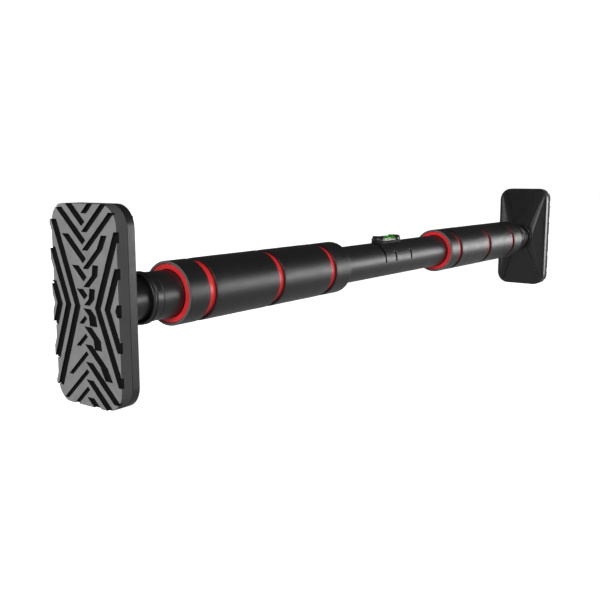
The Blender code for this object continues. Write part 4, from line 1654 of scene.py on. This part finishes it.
@dataclass
class Studio:
    """Seamless pale backdrop, dark ceiling over a grey ground, soft boxes and the camera.

    Attributes:
        camera_place: Where the camera stands.
        yaw: Its heading in degrees from +X towards +Y.
        pitch: Its tilt in degrees, negative downwards.
        lens: Focal length in millimetres.
        sensor: Width of the sensor in millimetres.
        backdrop: Radius of the backdrop, radius of its cove, and height of its wall.
        glow: Light of the surroundings, as (place, grey) from straight down at 0 to
            straight up at 1.
        boxes: The soft boxes.
    """

    camera_place: tuple[float, float, float] = (-0.658, -0.3831, 0.0775)
    yaw: float = 36.5855
    pitch: float = -8.898
    lens: float = 47.36
    sensor: float = 36.0
    backdrop: tuple[float, float, float] = (14.0, 4.0, 24.0)
    glow: tuple[Point2, ...] = ((0.0, 0.34), (0.46, 0.42), (0.53, 0.06), (1.0, 0.045))
    boxes: tuple[SoftBox, ...] = (
        SoftBox("key, left of the camera", (-1.8, -1.25, 1.0), (-0.3, 0, 0), (1.0, 1.0), 46),
        SoftBox("front strip", (1.77, -1.9, 0.06), (0.0, 0, 0.0), (1.5, 0.62), 23),
        SoftBox("far strip", (2.5, -0.75, 0.06), (0.0, 0, 0.0), (1.3, 0.62), 12),
        SoftBox("back strip", (0.0, 2.2, 0.4), (0.0, 0, 0.0), (2.4, 0.5), 14),
    )

    def build(self) -> None:
        """Build the whole studio."""
        self.build_floor()
        self.build_world()
        for box in self.boxes:
            box.build()
        self.build_camera()
        bpy.context.scene.view_settings.view_transform = "Standard"

    def build_floor(self) -> None:
        """Round seamless backdrop: floor under the feet, a cove, and a wall far away."""
        low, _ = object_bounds()
        reach, cove, top = self.backdrop
        corners = [Corner(0, 0), Corner(reach, 0, cove), Corner(reach, top), Corner(0, top)]
        bm = spun(rounded_profile(corners, closed=False, segments=12), 96, closed=False)
        placing = Matrix.Translation((0, 0, low[2] - 0.2 * MM))
        backdrop = to_object(bm, "studio_backdrop", placing, [Finishes.FLOOR])
        for ray in ("diffuse", "glossy", "transmission", "shadow"):
            setattr(backdrop, f"visible_{ray}", False)
        backdrop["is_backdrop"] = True

    def build_world(self) -> None:
        """Dark ceiling over a grey ground, as between black flags on a white table."""
        world = bpy.data.worlds.new("flagged tent")
        bpy.context.scene.world = world
        world.use_nodes = True
        tree = world.node_tree
        rise = add_node(tree, "SeparateXYZ", links={
            0: add_node(tree, "TexCoord").outputs["Generated"]}).outputs["Z"]
        place = add_node(tree, "MapRange", links={"Value": rise, "From Min": -1.0,
                                                  "From Max": 1.0}).outputs[0]
        glow = set_ramp(add_node(tree, "ValToRGB", links={"Fac": place}), self.glow)
        background = tree.nodes["Background"]
        tree.links.new(glow, background.inputs["Color"])
        background.inputs["Strength"].default_value = 1.0

    def build_camera(self) -> None:
        """Camera at the product view."""
        data = bpy.data.cameras.new("camera")
        data.sensor_width = self.sensor
        data.lens = self.lens
        data.clip_start = 0.01
        camera = bpy.data.objects.new("camera", data)
        yaw, pitch = math.radians(self.yaw), math.radians(self.pitch)
        heading = Vector((math.cos(yaw) * math.cos(pitch), math.sin(yaw) * math.cos(pitch),
                          math.sin(pitch)))
        camera.location = self.camera_place
        camera.rotation_euler = heading.to_track_quat("-Z", "Y").to_euler()
        bpy.context.scene.collection.objects.link(camera)
        bpy.context.scene.camera = camera


def main() -> None:
    logging.basicConfig(level=logging.INFO, format="%(message)s")
    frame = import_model()
    cad_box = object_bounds()
    half_length = (cad_box[1][0] - cad_box[0][0]) / 2
    Studio().build()
    for side in Side:
        Foot(side, half_length).build()
        Grip(side, half_length).build()
    MainTube().build()
    SpiritLevel().build()
    HiddenParts().dress(frame["nodes"])


if __name__ == "__main__":
    main()
